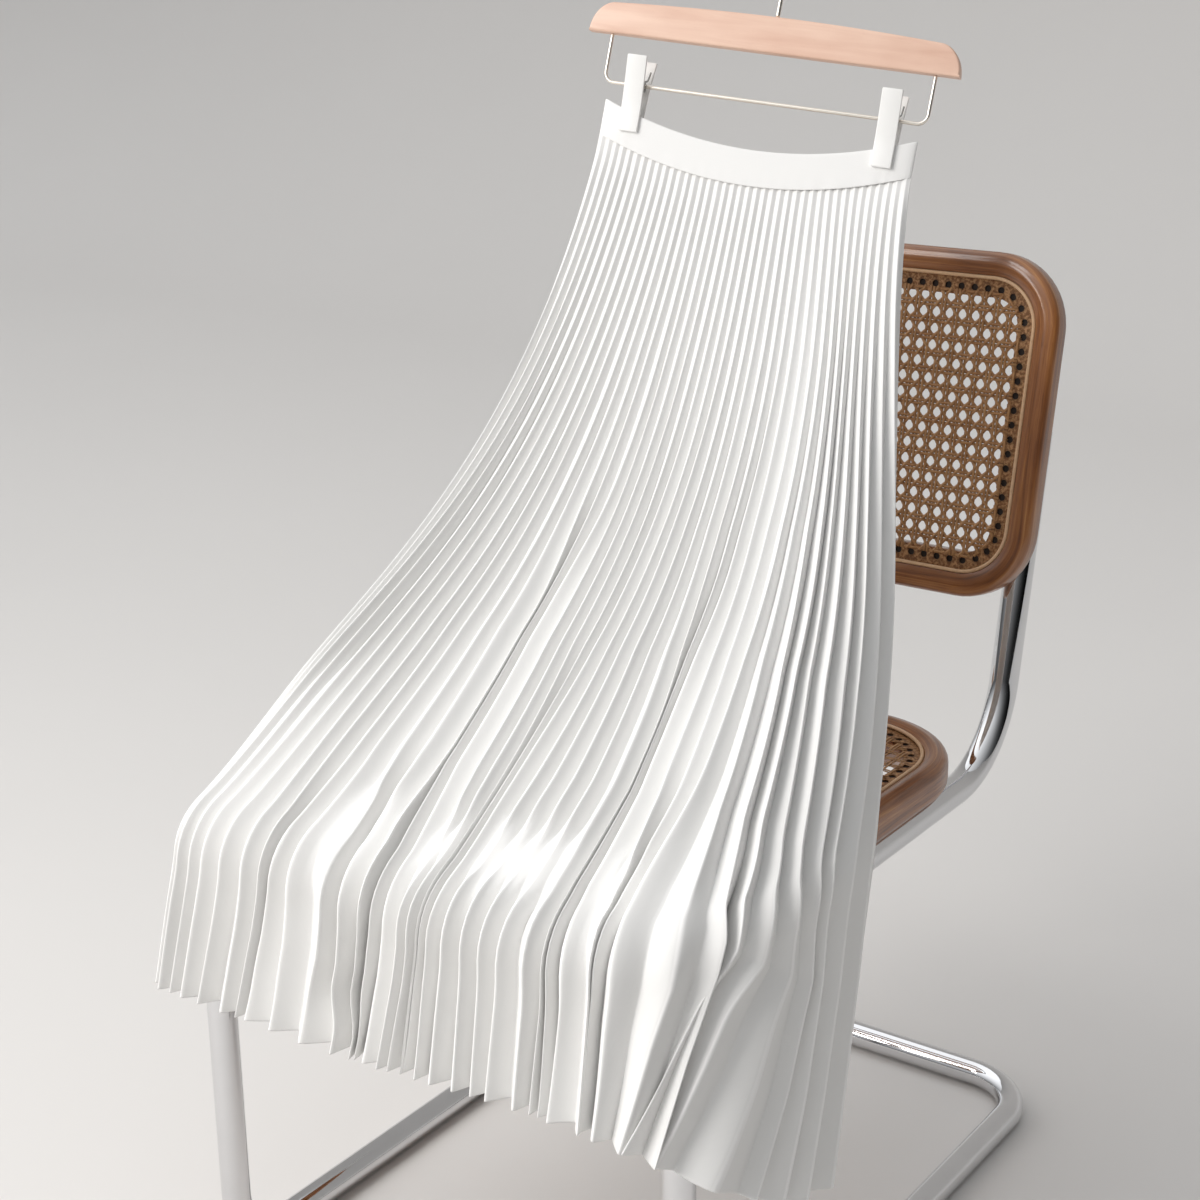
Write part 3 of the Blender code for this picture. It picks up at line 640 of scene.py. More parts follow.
def middleSheet(across, down):
    # the sheet between front and back: each line sags from the band to the seat's edge, turns over
    # it on a parabola and falls straight to the hem; also the level of the turn on each line, and
    # how much further out a mitred corner is there than a round one
    knots = [guide[0] for guide in guides]
    slope, edge, hem = (hermite(knots, [guide[k] for guide in guides], across) + chairPlace
                        for k in (1, 2, 3))
    waist = fromHanger(bandLine(across, 1.0) - np.array([0, 0, gap]))
    share = skirt["slopeShare"]
    sag = (slope - (waist + (edge - waist) * share)) / sagShape(share)

    def upper(shares):
        return waist + (edge - waist) * shares + sag * sagShape(shares)

    trial = np.linspace(0, 1, 401)
    left = np.linalg.norm(upper(trial[:, None, None]) - edge, axis=2)
    stop = trial[(left > skirt["turn"]).sum(axis=0)]
    slide = upper(np.linspace(0, 1, 90)[:, None, None] * stop[None, :, None])
    leave = edge + (hem - edge) / np.linalg.norm(hem - edge, axis=1, keepdims=True) * skirt["turn"]
    t = np.linspace(0, 1, 30)[1:, None, None]
    arc = (1 - t) ** 2 * slide[-1] + 2 * t * (1 - t) * edge + t**2 * leave
    fall = leave + (hem - leave) * np.linspace(0, 1, 14)[1:, None, None]
    path = np.concatenate([slide, arc, fall])
    steps = np.linalg.norm(np.diff(path, axis=0), axis=2)
    bend = steps[:len(slide) + 14].sum(axis=0) / steps.sum(axis=0)
    before, after = slide[-1] - slide[-2], hem - edge
    cosine = (before * after).sum(axis=1) / np.linalg.norm(before, axis=1) / np.linalg.norm(after, axis=1)
    return alongColumns(path, down), bend, 1 / np.sqrt((1 + cosine) / 2) - 1


def sheetNormals(sheet, down):
    # outward, and square to the band where the pleats meet it
    normal = np.cross(np.gradient(sheet, axis=0), np.gradient(sheet, axis=1))
    normal /= np.linalg.norm(normal, axis=2, keepdims=True)
    free = ramp(down, 0.0, skirt["squareToBand"])[:, None, None]
    normal = -hangerTurn[:, 1] * (1 - free) + normal * free
    return normal / np.linalg.norm(normal, axis=2, keepdims=True)


def bulgedOut(across, level):
    # out * exp(-(across / width)^2 - (distance down / reach)^2)
    reach = np.where(level < bulge["level"], bulge["reach"][0], bulge["reach"][1])
    return bulge["out"] * np.exp(-((across / bulge["width"]) ** 2) - ((level - bulge["level"]) / reach) ** 2)


def seamFade(across, width):
    # 1 over most of a panel, and down to 0 at its two seams
    return ramp(across, 0.0, width) * ramp(1 - across, 0.0, width)


def drifted(across, down):
    # places of the folds at each level, strayed from their even places
    shifts = [np.interp(down, driftLevels, row) for place, row in drifts]
    return across + hermite([place for place, row in drifts], shifts, across).T


def foldReach(fold, level):
    # how far a fold is open at each level, from 0 to 1
    place, start, deepest, end = fold[:4]
    return ramp(level, start, deepest) * (1 - ramp(level, end, end + trough["closesIn"]))


def foldLines(across, level):
    # new places and lifts of the pleats' lines: with m lines counted from a fold, its neighbours
    # move in by crowd * m * exp(-(m / beside)^2) lines and rise, those on the right further, and
    # the fold itself drops and goes in under the left one
    lines = across.shape[1]
    count = np.arange(lines)
    lift = np.zeros_like(across)
    for fold in folds:
        place, depth, crowd = fold[0], fold[4], fold[5]
        centre = 2 * round(place * (lines - 1) / 2)
        beside = count - centre
        reach = foldReach(fold, level)
        crowd = crowd * (1 - trough["looser"] * ramp(level, *trough["looserDown"]))
        onRight = beside > 0
        near = np.exp(-((beside / np.where(onRight, trough["beside"][1], trough["beside"][0])) ** 2))
        closing = crowd * near * (1 + trough["overlap"] * onRight)
        lean = (place - centre / (lines - 1)) * np.exp(-((beside / trough["leanReach"]) ** 2))
        under = trough["under"] * crowd * (beside == 0)
        across = across + reach * (lean - (closing * beside + under) / (lines - 1))
        rise = near * np.where(onRight, trough["lift"][1], trough["lift"][0])
        lift = lift + reach * np.where(beside == 0, -depth, rise)
    return across, lift


def standOff(across, level):
    # how far the front's inner folds stand off the middle sheet
    seams = seamFade(across, 0.08)
    rise = skirt["puff"] * ramp(level, *skirt["puffDown"]) * seams
    for fold in folds:
        here = np.exp(-(((across - drifted(np.array([fold[0]]), level[:, 0])) / trough["width"]) ** 2))
        rise = rise - trough["share"] * fold[4] * foldReach(fold, level) * seams * here
    return np.maximum(rise, 0.0)


def smoothedShare(across, down):
    # share of their depth that the pleats lose in each stretch, share * exp(-(across / width)^4
    # - (down / length)^4), with ragged ends
    lost = np.zeros(np.broadcast(across, down).shape)
    down = down + ragged["depth"] * np.sin(ragged["pace"] * across)
    for place, width, level, length, share in smoothed:
        patch = np.exp(-(((across - place) / width) ** 4) - ((down - level) / length) ** 4)
        lost = np.maximum(lost, share * patch)
    return lost


def pressedShare(across, down):
    # share of their depth that the back's pleats lose where they lie on the seat
    comes, leaves = skirt["lyingDown"]
    lying = ramp(down, *comes) * (1 - ramp(down, *leaves))
    return skirt["pressed"] * lying * (1 - ramp(across, *skirt["lyingAcross"]))


def roundedRise(t):
    # from 0 to 1 along a face, rounded off a little at the inner fold and more at the outer one
    inner, outer = skirt["valleyRound"], skirt["ridgeRound"]
    rise = (np.sqrt(t**2 + inner**2) - inner) / (math.sqrt(1 + inner**2) - inner)
    return 1 - (np.sqrt((1 - rise) ** 2 + outer**2) - outer) / (math.sqrt(1 + outer**2) - outer)


def rowShares():
    # levels of the rows of points
    fine = np.linspace(0, 1, 2001)
    density = 1 + sum(more * np.exp(-(((fine - place) / reach) ** 2)) for place, reach, more in denserRows)
    passed = np.cumsum(density)
    shares = np.interp(np.linspace(passed[0], passed[-1], skirt["rows"] - 1), passed, fine)
    return np.append(shares[:-1], (skirt["hemRow"], 1.0))


def takeAcross(grid, across):
    # a grid's values between its columns, read at across in each row
    place = np.clip(across, 0, 1) * (grid.shape[1] - 1)
    index = np.minimum(place.astype(int), grid.shape[1] - 2)
    t = place - index
    if grid.ndim == 3:
        index, t = index[:, :, None], t[:, :, None]
    first = np.take_along_axis(grid, index, axis=1)
    return first + (np.take_along_axis(grid, index + 1, axis=1) - first) * t


def pleatLines(side, seed, down):
    # places across, heights and lifts of the pleats' lines at each level: lines drift, wander slowly,
    # fan out towards the hem, close over the front's deep folds, and are uneven in height
    pleats, level = skirt["pleats"], down[:, None]
    lines = 2 * pleats + 1
    even = np.linspace(0, 1, lines)
    fade = seamFade(even, 0.05) * (0.25 + 0.75 * ramp(level, 0.0, 0.4))
    across = drifted(even, down) + skirt["wander"] / pleats * fade * lineNoise(seed, lines, down)
    fan = np.random.default_rng(seed + 2).normal(0, 1, lines)
    below = np.clip((level - skirt["fanStart"]) / (1 - skirt["fanStart"]), 0, 1)
    across = across + skirt["fan"] / pleats * fade * fan * below
    lift = np.zeros_like(across)
    if side > 0:
        across, lift = foldLines(across, level)
    lack = skirt["uneven"] * np.abs(lineNoise(seed + 1, lines, down)) * (0.3 + 0.7 * ramp(level, 0.0, 0.5))
    return across, np.where(np.arange(lines) % 2 == 1, 1 - lack, 0.5 * lack * seamFade(even, 0.03)), lift


def shareNearBand(across, level):
    # share of their depth that the pleats keep: topDepth above, a little less right under the band,
    # and there none at the two ends, where it falls off as the root of 1 - x^6
    centred = 2 * np.clip(across, 0, 1) - 1
    atBand = 1 - ramp(level, 0.0, 0.05)
    kept = skirt["topDepth"] + (1 - skirt["topDepth"]) * ramp(level, 0.0, 0.5)
    return kept * (1 - skirt["bandLoss"] * atBand) * (1 - (1 - np.sqrt(1 - centred**6)) * atBand)


def pleatedPanel(name, side, seed, replaced):
    # zigzag on the middle sheet: point = sheet + side * (stand off + depth * height) * normal, where
    # height runs from 0 at an inner fold to 1 at an outer one, and depth follows from the face's
    # width and the folds' spacing
    pleats = skirt["pleats"]
    down = rowShares()
    level = down[:, None]
    base = np.linspace(0, 1, 401)
    sheet, bend, mitre = middleSheet(base, down)
    normals = sheetNormals(sheet, down)
    sheet = sheet + normals * bulgedOut(base, level)[:, :, None]
    pitches = np.linalg.norm(np.gradient(sheet, axis=1), axis=2) * (len(base) - 1) / pleats

    place = np.append((np.arange(2 * pleats)[:, None] + faceSteps).ravel(), 2 * pleats)
    index = np.minimum(place.astype(int), 2 * pleats - 1)
    t = place - index
    rise = np.where(index % 2 == 0, roundedRise(t), 1 - roundedRise(1 - t))
    u, h, lifted = (values[:, index] + (values[:, index + 1] - values[:, index]) * share
                    for values, share in zip(pleatLines(side, seed, down), (t, rise, rise)))

    pitch = takeAcross(pitches, u)
    face = skirt["faceWaist"] + (skirt["faceHem"] - skirt["faceWaist"]) * level
    depth = np.sqrt(np.maximum(face**2 - (pitch / 2) ** 2, (skirt["flattest"] * face) ** 2))
    wall = skirt["wall"] * np.sqrt(1 + (2 * depth / pitch) ** 2)
    if side > 0:
        lost = smoothedShare(u, level)
        rest = standOff(u, level) + raised * lost * depth
        depth = depth * (1 - lost)
    else:
        rest = np.zeros_like(depth)
        depth = depth * (1 - pressedShare(u, level))
    depth = depth * shareNearBand(u, level)
    closed = seamFade(u, 0.5 / pleats)
    offset = np.maximum((rest + wall / 2) * closed + depth * h + lifted, wall / 2 * closed)
    crest = np.exp(-(((level - np.interp(u, base, bend)) / skirt["crest"]) ** 2))
    offset = gap + offset * (1 + np.interp(u, base, mitre) * crest)
    points = takeAcross(sheet, u) + side * offset[:, :, None] * takeAcross(normals, u)
    top = points[:1] + hangerTurn[:, 2] * skirt["tucked"]
    points = np.concatenate([top, points])
    rows, columns = points.shape[:2]
    flatAcross = (place[None, :] - pleats) * np.concatenate([face[:1], face])
    flatDown = np.concatenate([-down[1:2], down])[:, None] * skirt["length"] + 0 * flatAcross
    uv = np.stack([flatAcross, flatDown], axis=-1).reshape(-1, 2)
    quads = gridQuads(rows, columns)
    if side > 0:
        quads = quads[:, ::-1]
    counted = np.stack([place[None, :] + 0 * flatDown, flatDown], axis=-1).reshape(-1, 2)
    piece = addPiece(name, points.reshape(-1, 3), quads, "cloth", replaced, uv, second=counted)
    shell = piece.modifiers.new("cloth", "SOLIDIFY")
    shell.thickness = skirt["thickness"]
    shell.offset = 0.0
    shell.use_even_offset = False
    return piece


def addWaistband():
    # flattened loop: across runs there and back along the band, its half depth falling off at the
    # ends as the root of 1 - x^10, and the wall's section is a rounded rectangle
    sides = 220
    t = np.linspace(0, 2 * math.pi, sides, endpoint=False)
    share = (1 - np.cos(t)) / 2
    centred = 2 * share - 1
    facing = np.where(t < math.pi, -1.0, 1.0)
    opening = np.sqrt(np.maximum(1 - centred**10, 0.0))
    corner = np.linspace(0, math.pi / 2, 5)
    soft = band["round"]
    inset, level = [], []
    for cornerInset, cornerLevel, start in ((soft, soft, math.pi), (band["wall"] - soft, soft, 1.5 * math.pi),
                                            (band["wall"] - soft, band["height"] - soft, 0.0),
                                            (soft, band["height"] - soft, 0.5 * math.pi)):
        inset.append(cornerInset + soft * np.cos(start + corner))
        level.append(cornerLevel + soft * np.sin(start + corner))
        if start in (1.5 * math.pi, 0.5 * math.pi):
            run = np.linspace(0, 1, 10)[1:-1]
            high, low = (soft, band["height"] - soft) if start > 4 else (band["height"] - soft, soft)
            inset.append(np.full(8, band["wall"] if start > 4 else 0.0))
            level.append(high + (low - high) * run)
    inset, level = np.concatenate(inset)[:, None], np.concatenate(level)[:, None]
    half = (band["depth"] / 2 - inset) * opening
    gathers = np.sin(band["gathers"] * 2 * math.pi * share) * ramp(level, *band["puckered"]) * opening
    line = bandLine(share, 0.0)
    x = line[:, 0] - inset * centred
    y = facing * (half + band["pucker"] * gathers)
    z = line[:, 2] - level
    points = fromHanger(np.stack(np.broadcast_arrays(x, y, z), axis=-1).reshape(-1, 3))
    quads = gridQuads(len(inset), sides, closedRows=True, closedColumns=True)
    if signedVolume(points, quads) < 0:
        quads = quads[:, ::-1]
    uv = np.stack(np.broadcast_arrays(x, level + 0 * x), axis=-1).reshape(-1, 2)
    return addPiece("elasticWaistband", points, quads, "band", ["waistband"], uv)


frontCloth = pleatedPanel("pleatedFront", 1, 11, ["skirt_front"])
backCloth = pleatedPanel("pleatedBack", -1, 29, ["skirt_back"])
waistband = addWaistband()
print("skirt draped")


bar = {
    "half": 0.155,
    "underside": -0.012,
    "middle": 0.029,         # height at the middle and at the shoulders
    "shoulder": 0.025,
    "end": 0.020,            # length of the rounded end
    "depth": 0.012,
    "ease": 0.0018,
}

wires = {
    "radius": 0.0015,
    "half": 0.1355,
    "low": -0.051,
    "bend": 0.008,
    "hookRadius": 0.0019,
    "stem": 0.030,
    "hookBend": 0.022,
    "hookCentre": 0.0286,    # above the end of the stem
    "hookStart": -55,        # degrees
    "hookSweep": 235,
    "ease": 0.0003,          # of the cut ends
}

clips = {
    "places": (("left", -0.1065), ("right", 0.1065)),
    "width": 0.0168,
    "length": 0.061,
    "plate": 0.0025,
    "spread": 0.0125,        # how far each plate stands out at the top
    "top": -0.0285,
    "hingeRoom": 0.003,
    "jawAbove": 0.004,
    "corner": 0.0010,        # rounding of the plates' ends
    "endThinner": 0.35,      # share of their thickness that the ends lose
    "soft": 0.0007,          # rounding of the long edges
    "slack": 0.0002,         # how far a plate's curve may pass its straight line inwards
    "backSpread": 0.0150,
    "coil": 0.0042,
    "coilReach": 0.0072,     # half length of the spring along the wire
    "turns": 7,
    "springWire": 0.0007,
    "armRise": 0.013,        # of each arm up its plate, above the wire
    "elbow": 0.8,            # where an arm bends, in radii of the coil
}


def addBar():
    # outline: flat underside, arched top, quarter-round ends; rings of it shrink round the edges
    flat = bar["half"] - bar["end"]
    rise = bar["middle"] - bar["shoulder"]
    turn = np.linspace(0, math.pi / 2, 17)
    over = np.linspace(1, -1, 31)[1:-1]
    right = np.stack([flat + bar["end"] * np.cos(turn), bar["shoulder"] * np.sin(turn)], axis=1)
    arch = np.stack([flat * over, bar["shoulder"] + rise * (1 - over**2)], axis=1)
    left = right[::-1] * (-1, 1)
    under = np.stack([np.linspace(-1, 1, 31)[1:-1] * bar["half"], np.zeros(29)], axis=1)
    outline = np.concatenate([right, arch, left, under])
    tangent = np.roll(outline, -1, axis=0) - np.roll(outline, 1, axis=0)
    tangent /= np.linalg.norm(tangent, axis=1, keepdims=True)
    inward = np.stack([-tangent[:, 1], tangent[:, 0]], axis=1)
    angle = np.linspace(0, math.pi / 2, 6)
    inset = bar["ease"] * (1 - np.sin(angle))
    inset = np.concatenate([inset, inset[::-1]])
    y = bar["depth"] / 2 - bar["ease"] * (1 - np.cos(angle))
    y = np.concatenate([-y, y[::-1]])
    rings = outline[None] + inset[:, None, None] * inward[None]
    local = np.stack([rings[:, :, 0], np.broadcast_to(y[:, None], rings.shape[:2]),
                      rings[:, :, 1] + bar["underside"]], axis=-1)
    points, quads, caps = cappedRings(fromHanger(local))
    uv = np.stack([local[:, :, 0], local[:, :, 2] + local[:, :, 1]], axis=-1).reshape(-1, 2)
    addPiece("beechBar", points, quads, "beech", ["hanger_bar"], uv, caps, sharp=50)


def addWires():
    # hook: a stem and an arc, smoothed where they meet; wire: down near each end of the bar and across
    top = bar["underside"] + bar["middle"] + gap
    neck = top + wires["stem"]
    angle = np.radians(wires["hookStart"] + wires["hookSweep"] * np.linspace(0, 1, 41)[1:])
    bend = np.stack([wires["hookBend"] * np.cos(angle), 0 * angle,
                     neck + wires["hookCentre"] + wires["hookBend"] * np.sin(angle)], axis=1)
    stem = np.array([(0, 0, top), (0, 0, top + 0.6 * wires["stem"]), (0, 0, neck)])
    knots = np.concatenate([stem, bend])
    length = np.concatenate([[0], np.cumsum(np.linalg.norm(np.diff(knots, axis=0), axis=1))])
    hook = hermite(length, knots, np.linspace(0, length[-1], 70))
    points, quads, caps = tubeAlong(fromHanger(hook), wires["hookRadius"], 16, wires["hookRadius"] * 0.9)
    addPiece("steelHook", points, quads, "wire", ["hanger_hook"], caps=caps)

    low = bar["underside"] - gap
    corners = ((-wires["half"], 0, low), (-wires["half"], 0, wires["low"]), (wires["half"], 0, wires["low"]),
               (wires["half"], 0, low))
    path = roundedPath(corners, (wires["bend"], wires["bend"]), 10)
    points, quads, caps = tubeAlong(fromHanger(path), wires["radius"], 16, wires["ease"])
    addPiece("steelWire", points, quads, "wire", ["hanger_wire"], caps=caps)


def addPlate(name, x, sign, replaced):
    # rounded bar carried down the plate's line: wide open at the top, closed on the band below
    jaw = band["depth"] / 2 + gap
    bottom = clips["top"] - clips["length"]
    knots = np.array([bottom, band["top"] - clips["jawAbove"], wires["low"], clips["top"]])
    offsets = np.array([jaw, jaw, jaw + clips["hingeRoom"], clips["spread" if sign < 0 else "backSpread"]])
    corner = clips["corner"]
    turn = np.linspace(0, math.pi / 2, 6)
    ends = corner * (1 - np.cos(turn))
    z = np.concatenate([bottom + ends, np.linspace(bottom + corner, clips["top"] - corner, 26)[1:-1],
                        (clips["top"] - ends)[::-1]])
    narrower = np.zeros_like(z)
    narrower[:6] = corner * (1 - np.sin(turn))
    narrower[-6:] = (corner * (1 - np.sin(turn)))[::-1]
    near = hermite(knots, offsets[:, None], z)[:, 0]
    near = np.maximum(near, np.interp(z, knots, offsets) - clips["slack"])
    soft = clips["soft"]
    angle = np.linspace(0, math.pi / 2, 5)
    section = np.concatenate([
        np.stack([sx * (clips["width"] / 2 - soft) + soft * np.cos(angle + quarter),
                  sy * (clips["plate"] / 2 - soft) + soft * np.sin(angle + quarter)], axis=1)
        for sx, sy, quarter in ((1, 1, 0), (-1, 1, math.pi / 2), (-1, -1, math.pi), (1, -1, 1.5 * math.pi))])
    wide = 1 - 2 * narrower / clips["width"]
    thin = 1 - clips["endThinner"] * narrower / corner
    local = np.stack(np.broadcast_arrays(
        x + section[None, :, 0] * wide[:, None],
        sign * (near + clips["plate"] / 2)[:, None] + section[None, :, 1] * thin[:, None],
        z[:, None]), axis=-1)
    points, quads, caps = cappedRings(fromHanger(local))
    addPiece(name, points, quads, "plastic", replaced, caps=caps)


def addSpring(side, x):
    # helix round the wire with an arm up each plate, each arm a parabola through its elbow
    turns, reach = clips["turns"], clips["coilReach"]
    angle = np.linspace(0, 2 * math.pi * turns, 24 * turns)
    helix = np.stack([x - reach + 2 * reach * angle / angle[-1], clips["coil"] * np.sin(angle),
                      wires["low"] + clips["coil"] * np.cos(angle)], axis=1)
    out = band["depth"] / 2 + clips["hingeRoom"] - clips["springWire"]
    arms = []
    for place, sign in ((x - reach, -1), (x + reach, 1)):
        t = np.linspace(0, 1, 10)[1:, None]
        start = np.array([place, 0, wires["low"] + clips["coil"]])
        elbow = start + (0, sign * clips["elbow"] * clips["coil"], 0)
        end = np.array([place, sign * out, wires["low"] + clips["armRise"]])
        arms.append((1 - t) ** 2 * start + 2 * t * (1 - t) * elbow + t**2 * end)
    path = np.concatenate([arms[0][::-1], helix, arms[1]])
    points, quads, caps = tubeAlong(fromHanger(path), clips["springWire"], 8, wires["ease"])
    addPiece(f"spring_{side}", points, quads, "spring", [f"clip_{side}_spring"], caps=caps)


addBar()
addWires()
for side, x in clips["places"]:
    addPlate(f"clipFront_{side}", x, -1, [f"clip_{side}_front"])
    addPlate(f"clipBack_{side}", x, 1, [f"clip_{side}_back"])
    addSpring(side, x)
print("hanger made")


chair = {
    "legX": 0.2265,
    "railZ": 0.400,
    "railBackY": 0.495,
    "uprightTop": (0.5525, 0.684),
    "baseBackY": 0.620,
    "seatFrontY": -0.028,
    "backrestMiddle": 0.288,                 # along the uprights, from the height of the rails
    "bends": (0.090, 0.060, 0.055, 0.060),   # behind the seat, at its front, at the foot, at the rear
}

seatPanel = {
    "name": "Seat", "halfX": 0.240, "halfY": 0.2415, "backCorner": 0.098, "thickness": 0.030, "drop": 0.004,
    "pitchY": 0.0122, "nodes": ("seat_frame", "seat_cane"),
}

backPanel = {
    "name": "Back", "halfX": 0.247, "halfY": 0.146, "backCorner": 0.062, "thickness": 0.026, "drop": 0.005,
    "pitchY": 0.0141, "nodes": ("backrest_frame", "backrest_cane"),
}

surroundLook = {
    "width": 0.038,
    "rebate": 0.020,         # the cane is let in from here inwards
    "corner": 0.062,
    "caneWall": 0.003,
    "edge": 0.27,            # radius of the outer edges, as a share of the thickness
    "crown": 0.56,           # where the face is highest, as a share of its width
    "crownRise": 0.0008,     # above the face's outer edge
    "slope": 0.0026,         # how far the face falls from there to the bead
    "ease": 0.0008,          # of the edges inside
    "bead": 0.0016,
    "sunk": 0.0016,          # of the strip with the holes, below the cane's own face
    "holeInset": 0.031,
    "holeRadius": 0.0029,
    "holePitch": 0.0122,
}

cane = {
    "inset": 0.0335,         # where the strands end
    "pitchX": 0.0122,
    "width": 0.0025,
    "thickness": 0.0007,
    "pair": 0.0015,          # half the spacing of the two strands of a pair
    "weave": 0.0005,         # how far the paired strands rise and sink
    "over": 0.0010,          # and the slanting ones
    "shortest": 0.006,
}


def addChairTube():
    # one tube, from the top of one upright down, round under the seat and the floor frame, and up
    x, rail = chair["legX"], chair["railZ"]
    one = [(x, *chair["uprightTop"]), (x, chair["railBackY"], rail), (x, 0, rail), (x, 0, tubeRadius),
           (x, chair["baseBackY"], tubeRadius)]
    corners = np.array(one + [(-px, py, pz) for px, py, pz in reversed(one)]) + chairPlace
    path = roundedPath(corners, chair["bends"] + chair["bends"][::-1], 18)
    points, quads, caps = tubeAlong(path, tubeRadius, 36, 0.001)
    nodes = [part + side for part in ("leg_", "seat_rail_", "floor_runner_", "upright_")
             for side in ("left", "right")]
    addPiece("bentTube", points, quads, "chrome", nodes + ["floor_bar_rear"], caps=caps, sharp=40)


def outlineAndNormals(panel):
    # rounded rectangle of the panel's outside, from its lower left corner round, and its outward
    # normals: an outline further in is outline - inset * normal
    corners = ((-1, -1, surroundLook["corner"], 2), (1, -1, surroundLook["corner"], 3),
               (1, 1, panel["backCorner"], 0), (-1, 1, panel["backCorner"], 1))
    angle = np.linspace(0, math.pi / 2, 15)
    share = np.linspace(0, 1, 8)[1:-1, None]
    arcs, turns = [], []
    for sx, sy, radius, quarter in corners:
        turn = angle + quarter * math.pi / 2
        turns.append(np.stack([np.cos(turn), np.sin(turn)], axis=1))
        centre = np.array([sx * (panel["halfX"] - radius), sy * (panel["halfY"] - radius)])
        arcs.append(centre + radius * turns[-1])
    outline, normals = [], []
    for arc, following, turn in zip(arcs, arcs[1:] + arcs[:1], turns):
        outline += [arc, arc[-1] + (following[0] - arc[-1]) * share]
        normals += [turn, np.repeat(turn[-1:], len(share), axis=0)]
    return np.concatenate(outline), np.concatenate(normals)


def surroundSection(panel):
    # insets and heights round the wood's section: rounded outside, a face that crowns and slopes to
    # the bead, the ledge under the cane, the inner wall and the flat underside
    look, thick = surroundLook, panel["thickness"]
    width, rebate = look["width"], look["rebate"]
    soft = look["edge"] * thick
    turn = np.linspace(0, math.pi / 2, 7)
    crown = look["crown"] * rebate
    ledge = thick - panel["drop"] - look["caneWall"] - gap
    lower = np.stack([soft - soft * np.sin(turn), soft - soft * np.cos(turn)], axis=1)
    edge = thick - look["crownRise"] - soft
    upper = np.stack([soft - soft * np.cos(turn), edge + soft * np.sin(turn)], axis=1)
    run = np.linspace(0, 1, 6)[1:]
    rise = np.stack([soft + (crown - soft) * run, thick - look["crownRise"] * (1 - run) ** 2], axis=1)
    run = np.linspace(0, 1, 14)[1:]
    fall = np.stack([crown + (rebate - 0.001 - crown) * run, thick - look["slope"] * run**1.6], axis=1)
    low, ease = thick - look["slope"], look["ease"]
    drop = np.array([(rebate - 0.0003, low - 0.5 * ease), (rebate, low - 1.5 * ease), (rebate, ledge),
                     (width - ease, ledge), (width, ledge - ease), (width, ease), (width - ease, 0.0)])
    under = np.array([(0.7 * width, 0.0), (0.4 * width, 0.0)])
    return np.concatenate([lower, upper, rise, fall, drop, under])


def strandShape(start, end, heights, sideways, tone):
    # diamond section carried from start to end, its height above the panel given at even steps
    count = len(heights)
    t = np.linspace(0, 1, count)[:, None]
    line = np.concatenate([start + (end - start) * t, np.asarray(heights)[:, None]], axis=1)
    half, thick = cane["width"] / 2, cane["thickness"] / 2
    around = np.array([(*(sideways * half), 0), (0, 0, thick), (*(-sideways * half), 0), (0, 0, -thick)])
    points, quads, ends = cappedRings(line[:, None] + around[None])
    reach = np.linalg.norm(end - start)
    uv = np.stack([np.repeat(t[:, 0] * reach, 4), np.full(count * 4, tone)], axis=1)
    return points, np.concatenate([quads, ends]), uv


def chord(point, direction, half, radii):
    # first and last distances along a line that lie inside a rounded rectangle
    far = np.linspace(-half.sum(), half.sum(), 4001)
    at = point + direction * far[:, None]
    radius = np.where(at[:, 1] > 0, radii[1], radii[0])[:, None]
    over = np.maximum(np.abs(at) - (half - radius), 0)
    inside = far[np.hypot(over[:, 0], over[:, 1]) <= radius[:, 0]]
    return (inside[0], inside[-1]) if len(inside) else (0, 0)


def wovenCane(panel):
    # lattice of paired upright and level strands; the slanting ones cross midway between them, over
    # one pair and under the next
    half = np.array([panel["halfX"], panel["halfY"]]) - cane["inset"]
    radii = (surroundLook["corner"] - cane["inset"], panel["backCorner"] - cane["inset"])
    level = panel["thickness"] - panel["drop"] - surroundLook["caneWall"] / 2
    counts = np.round(2 * half / (cane["pitchX"], panel["pitchY"]))
    pitch = 2 * half / counts
    columns, rows = counts.astype(int)
    random = np.random.default_rng(5)
    shapes = []

    def strand(point, direction, spacing, rule):
        first, last = chord(point, direction, half, radii)
        if last - first < cane["shortest"]:
            return
        count = max(3, round((last - first) / spacing) + 1)
        start, end = point + direction * first, point + direction * last
        lattice = (start + (end - start) * np.linspace(0, 1, count)[:, None] + half) / pitch
        sideways = np.array([-direction[1], direction[0]])
        shapes.append(strandShape(start, end, level + rule(lattice), sideways, random.uniform(0, 1)))

    for pair in (-cane["pair"], cane["pair"]):
        for i in range(columns + 1):
            strand(np.array([-half[0] + i * pitch[0] + pair, 0.0]), np.array([0.0, 1.0]), pitch[1] / 2,
                   lambda at, i=i: cane["weave"] * np.cos(math.pi * (i + at[:, 1])))
        for j in range(rows + 1):
            strand(np.array([0.0, -half[1] + j * pitch[1] + pair]), np.array([1.0, 0.0]), pitch[0] / 2,
                   lambda at, j=j: -cane["weave"] * np.cos(math.pi * (at[:, 0] + j)))
    slant = np.linalg.norm(pitch)
    for sign, first in ((1, 0), (-1, -rows)):
        for k in range(columns + rows):
            strand(np.array([-half[0] + (first + k + 0.5) * pitch[0], -half[1]]), pitch * (1, -sign) / slant,
                   slant / 4, lambda at, sign=sign: sign * cane["over"] * np.cos(2 * math.pi * at[:, 0]))
    return joined(shapes)


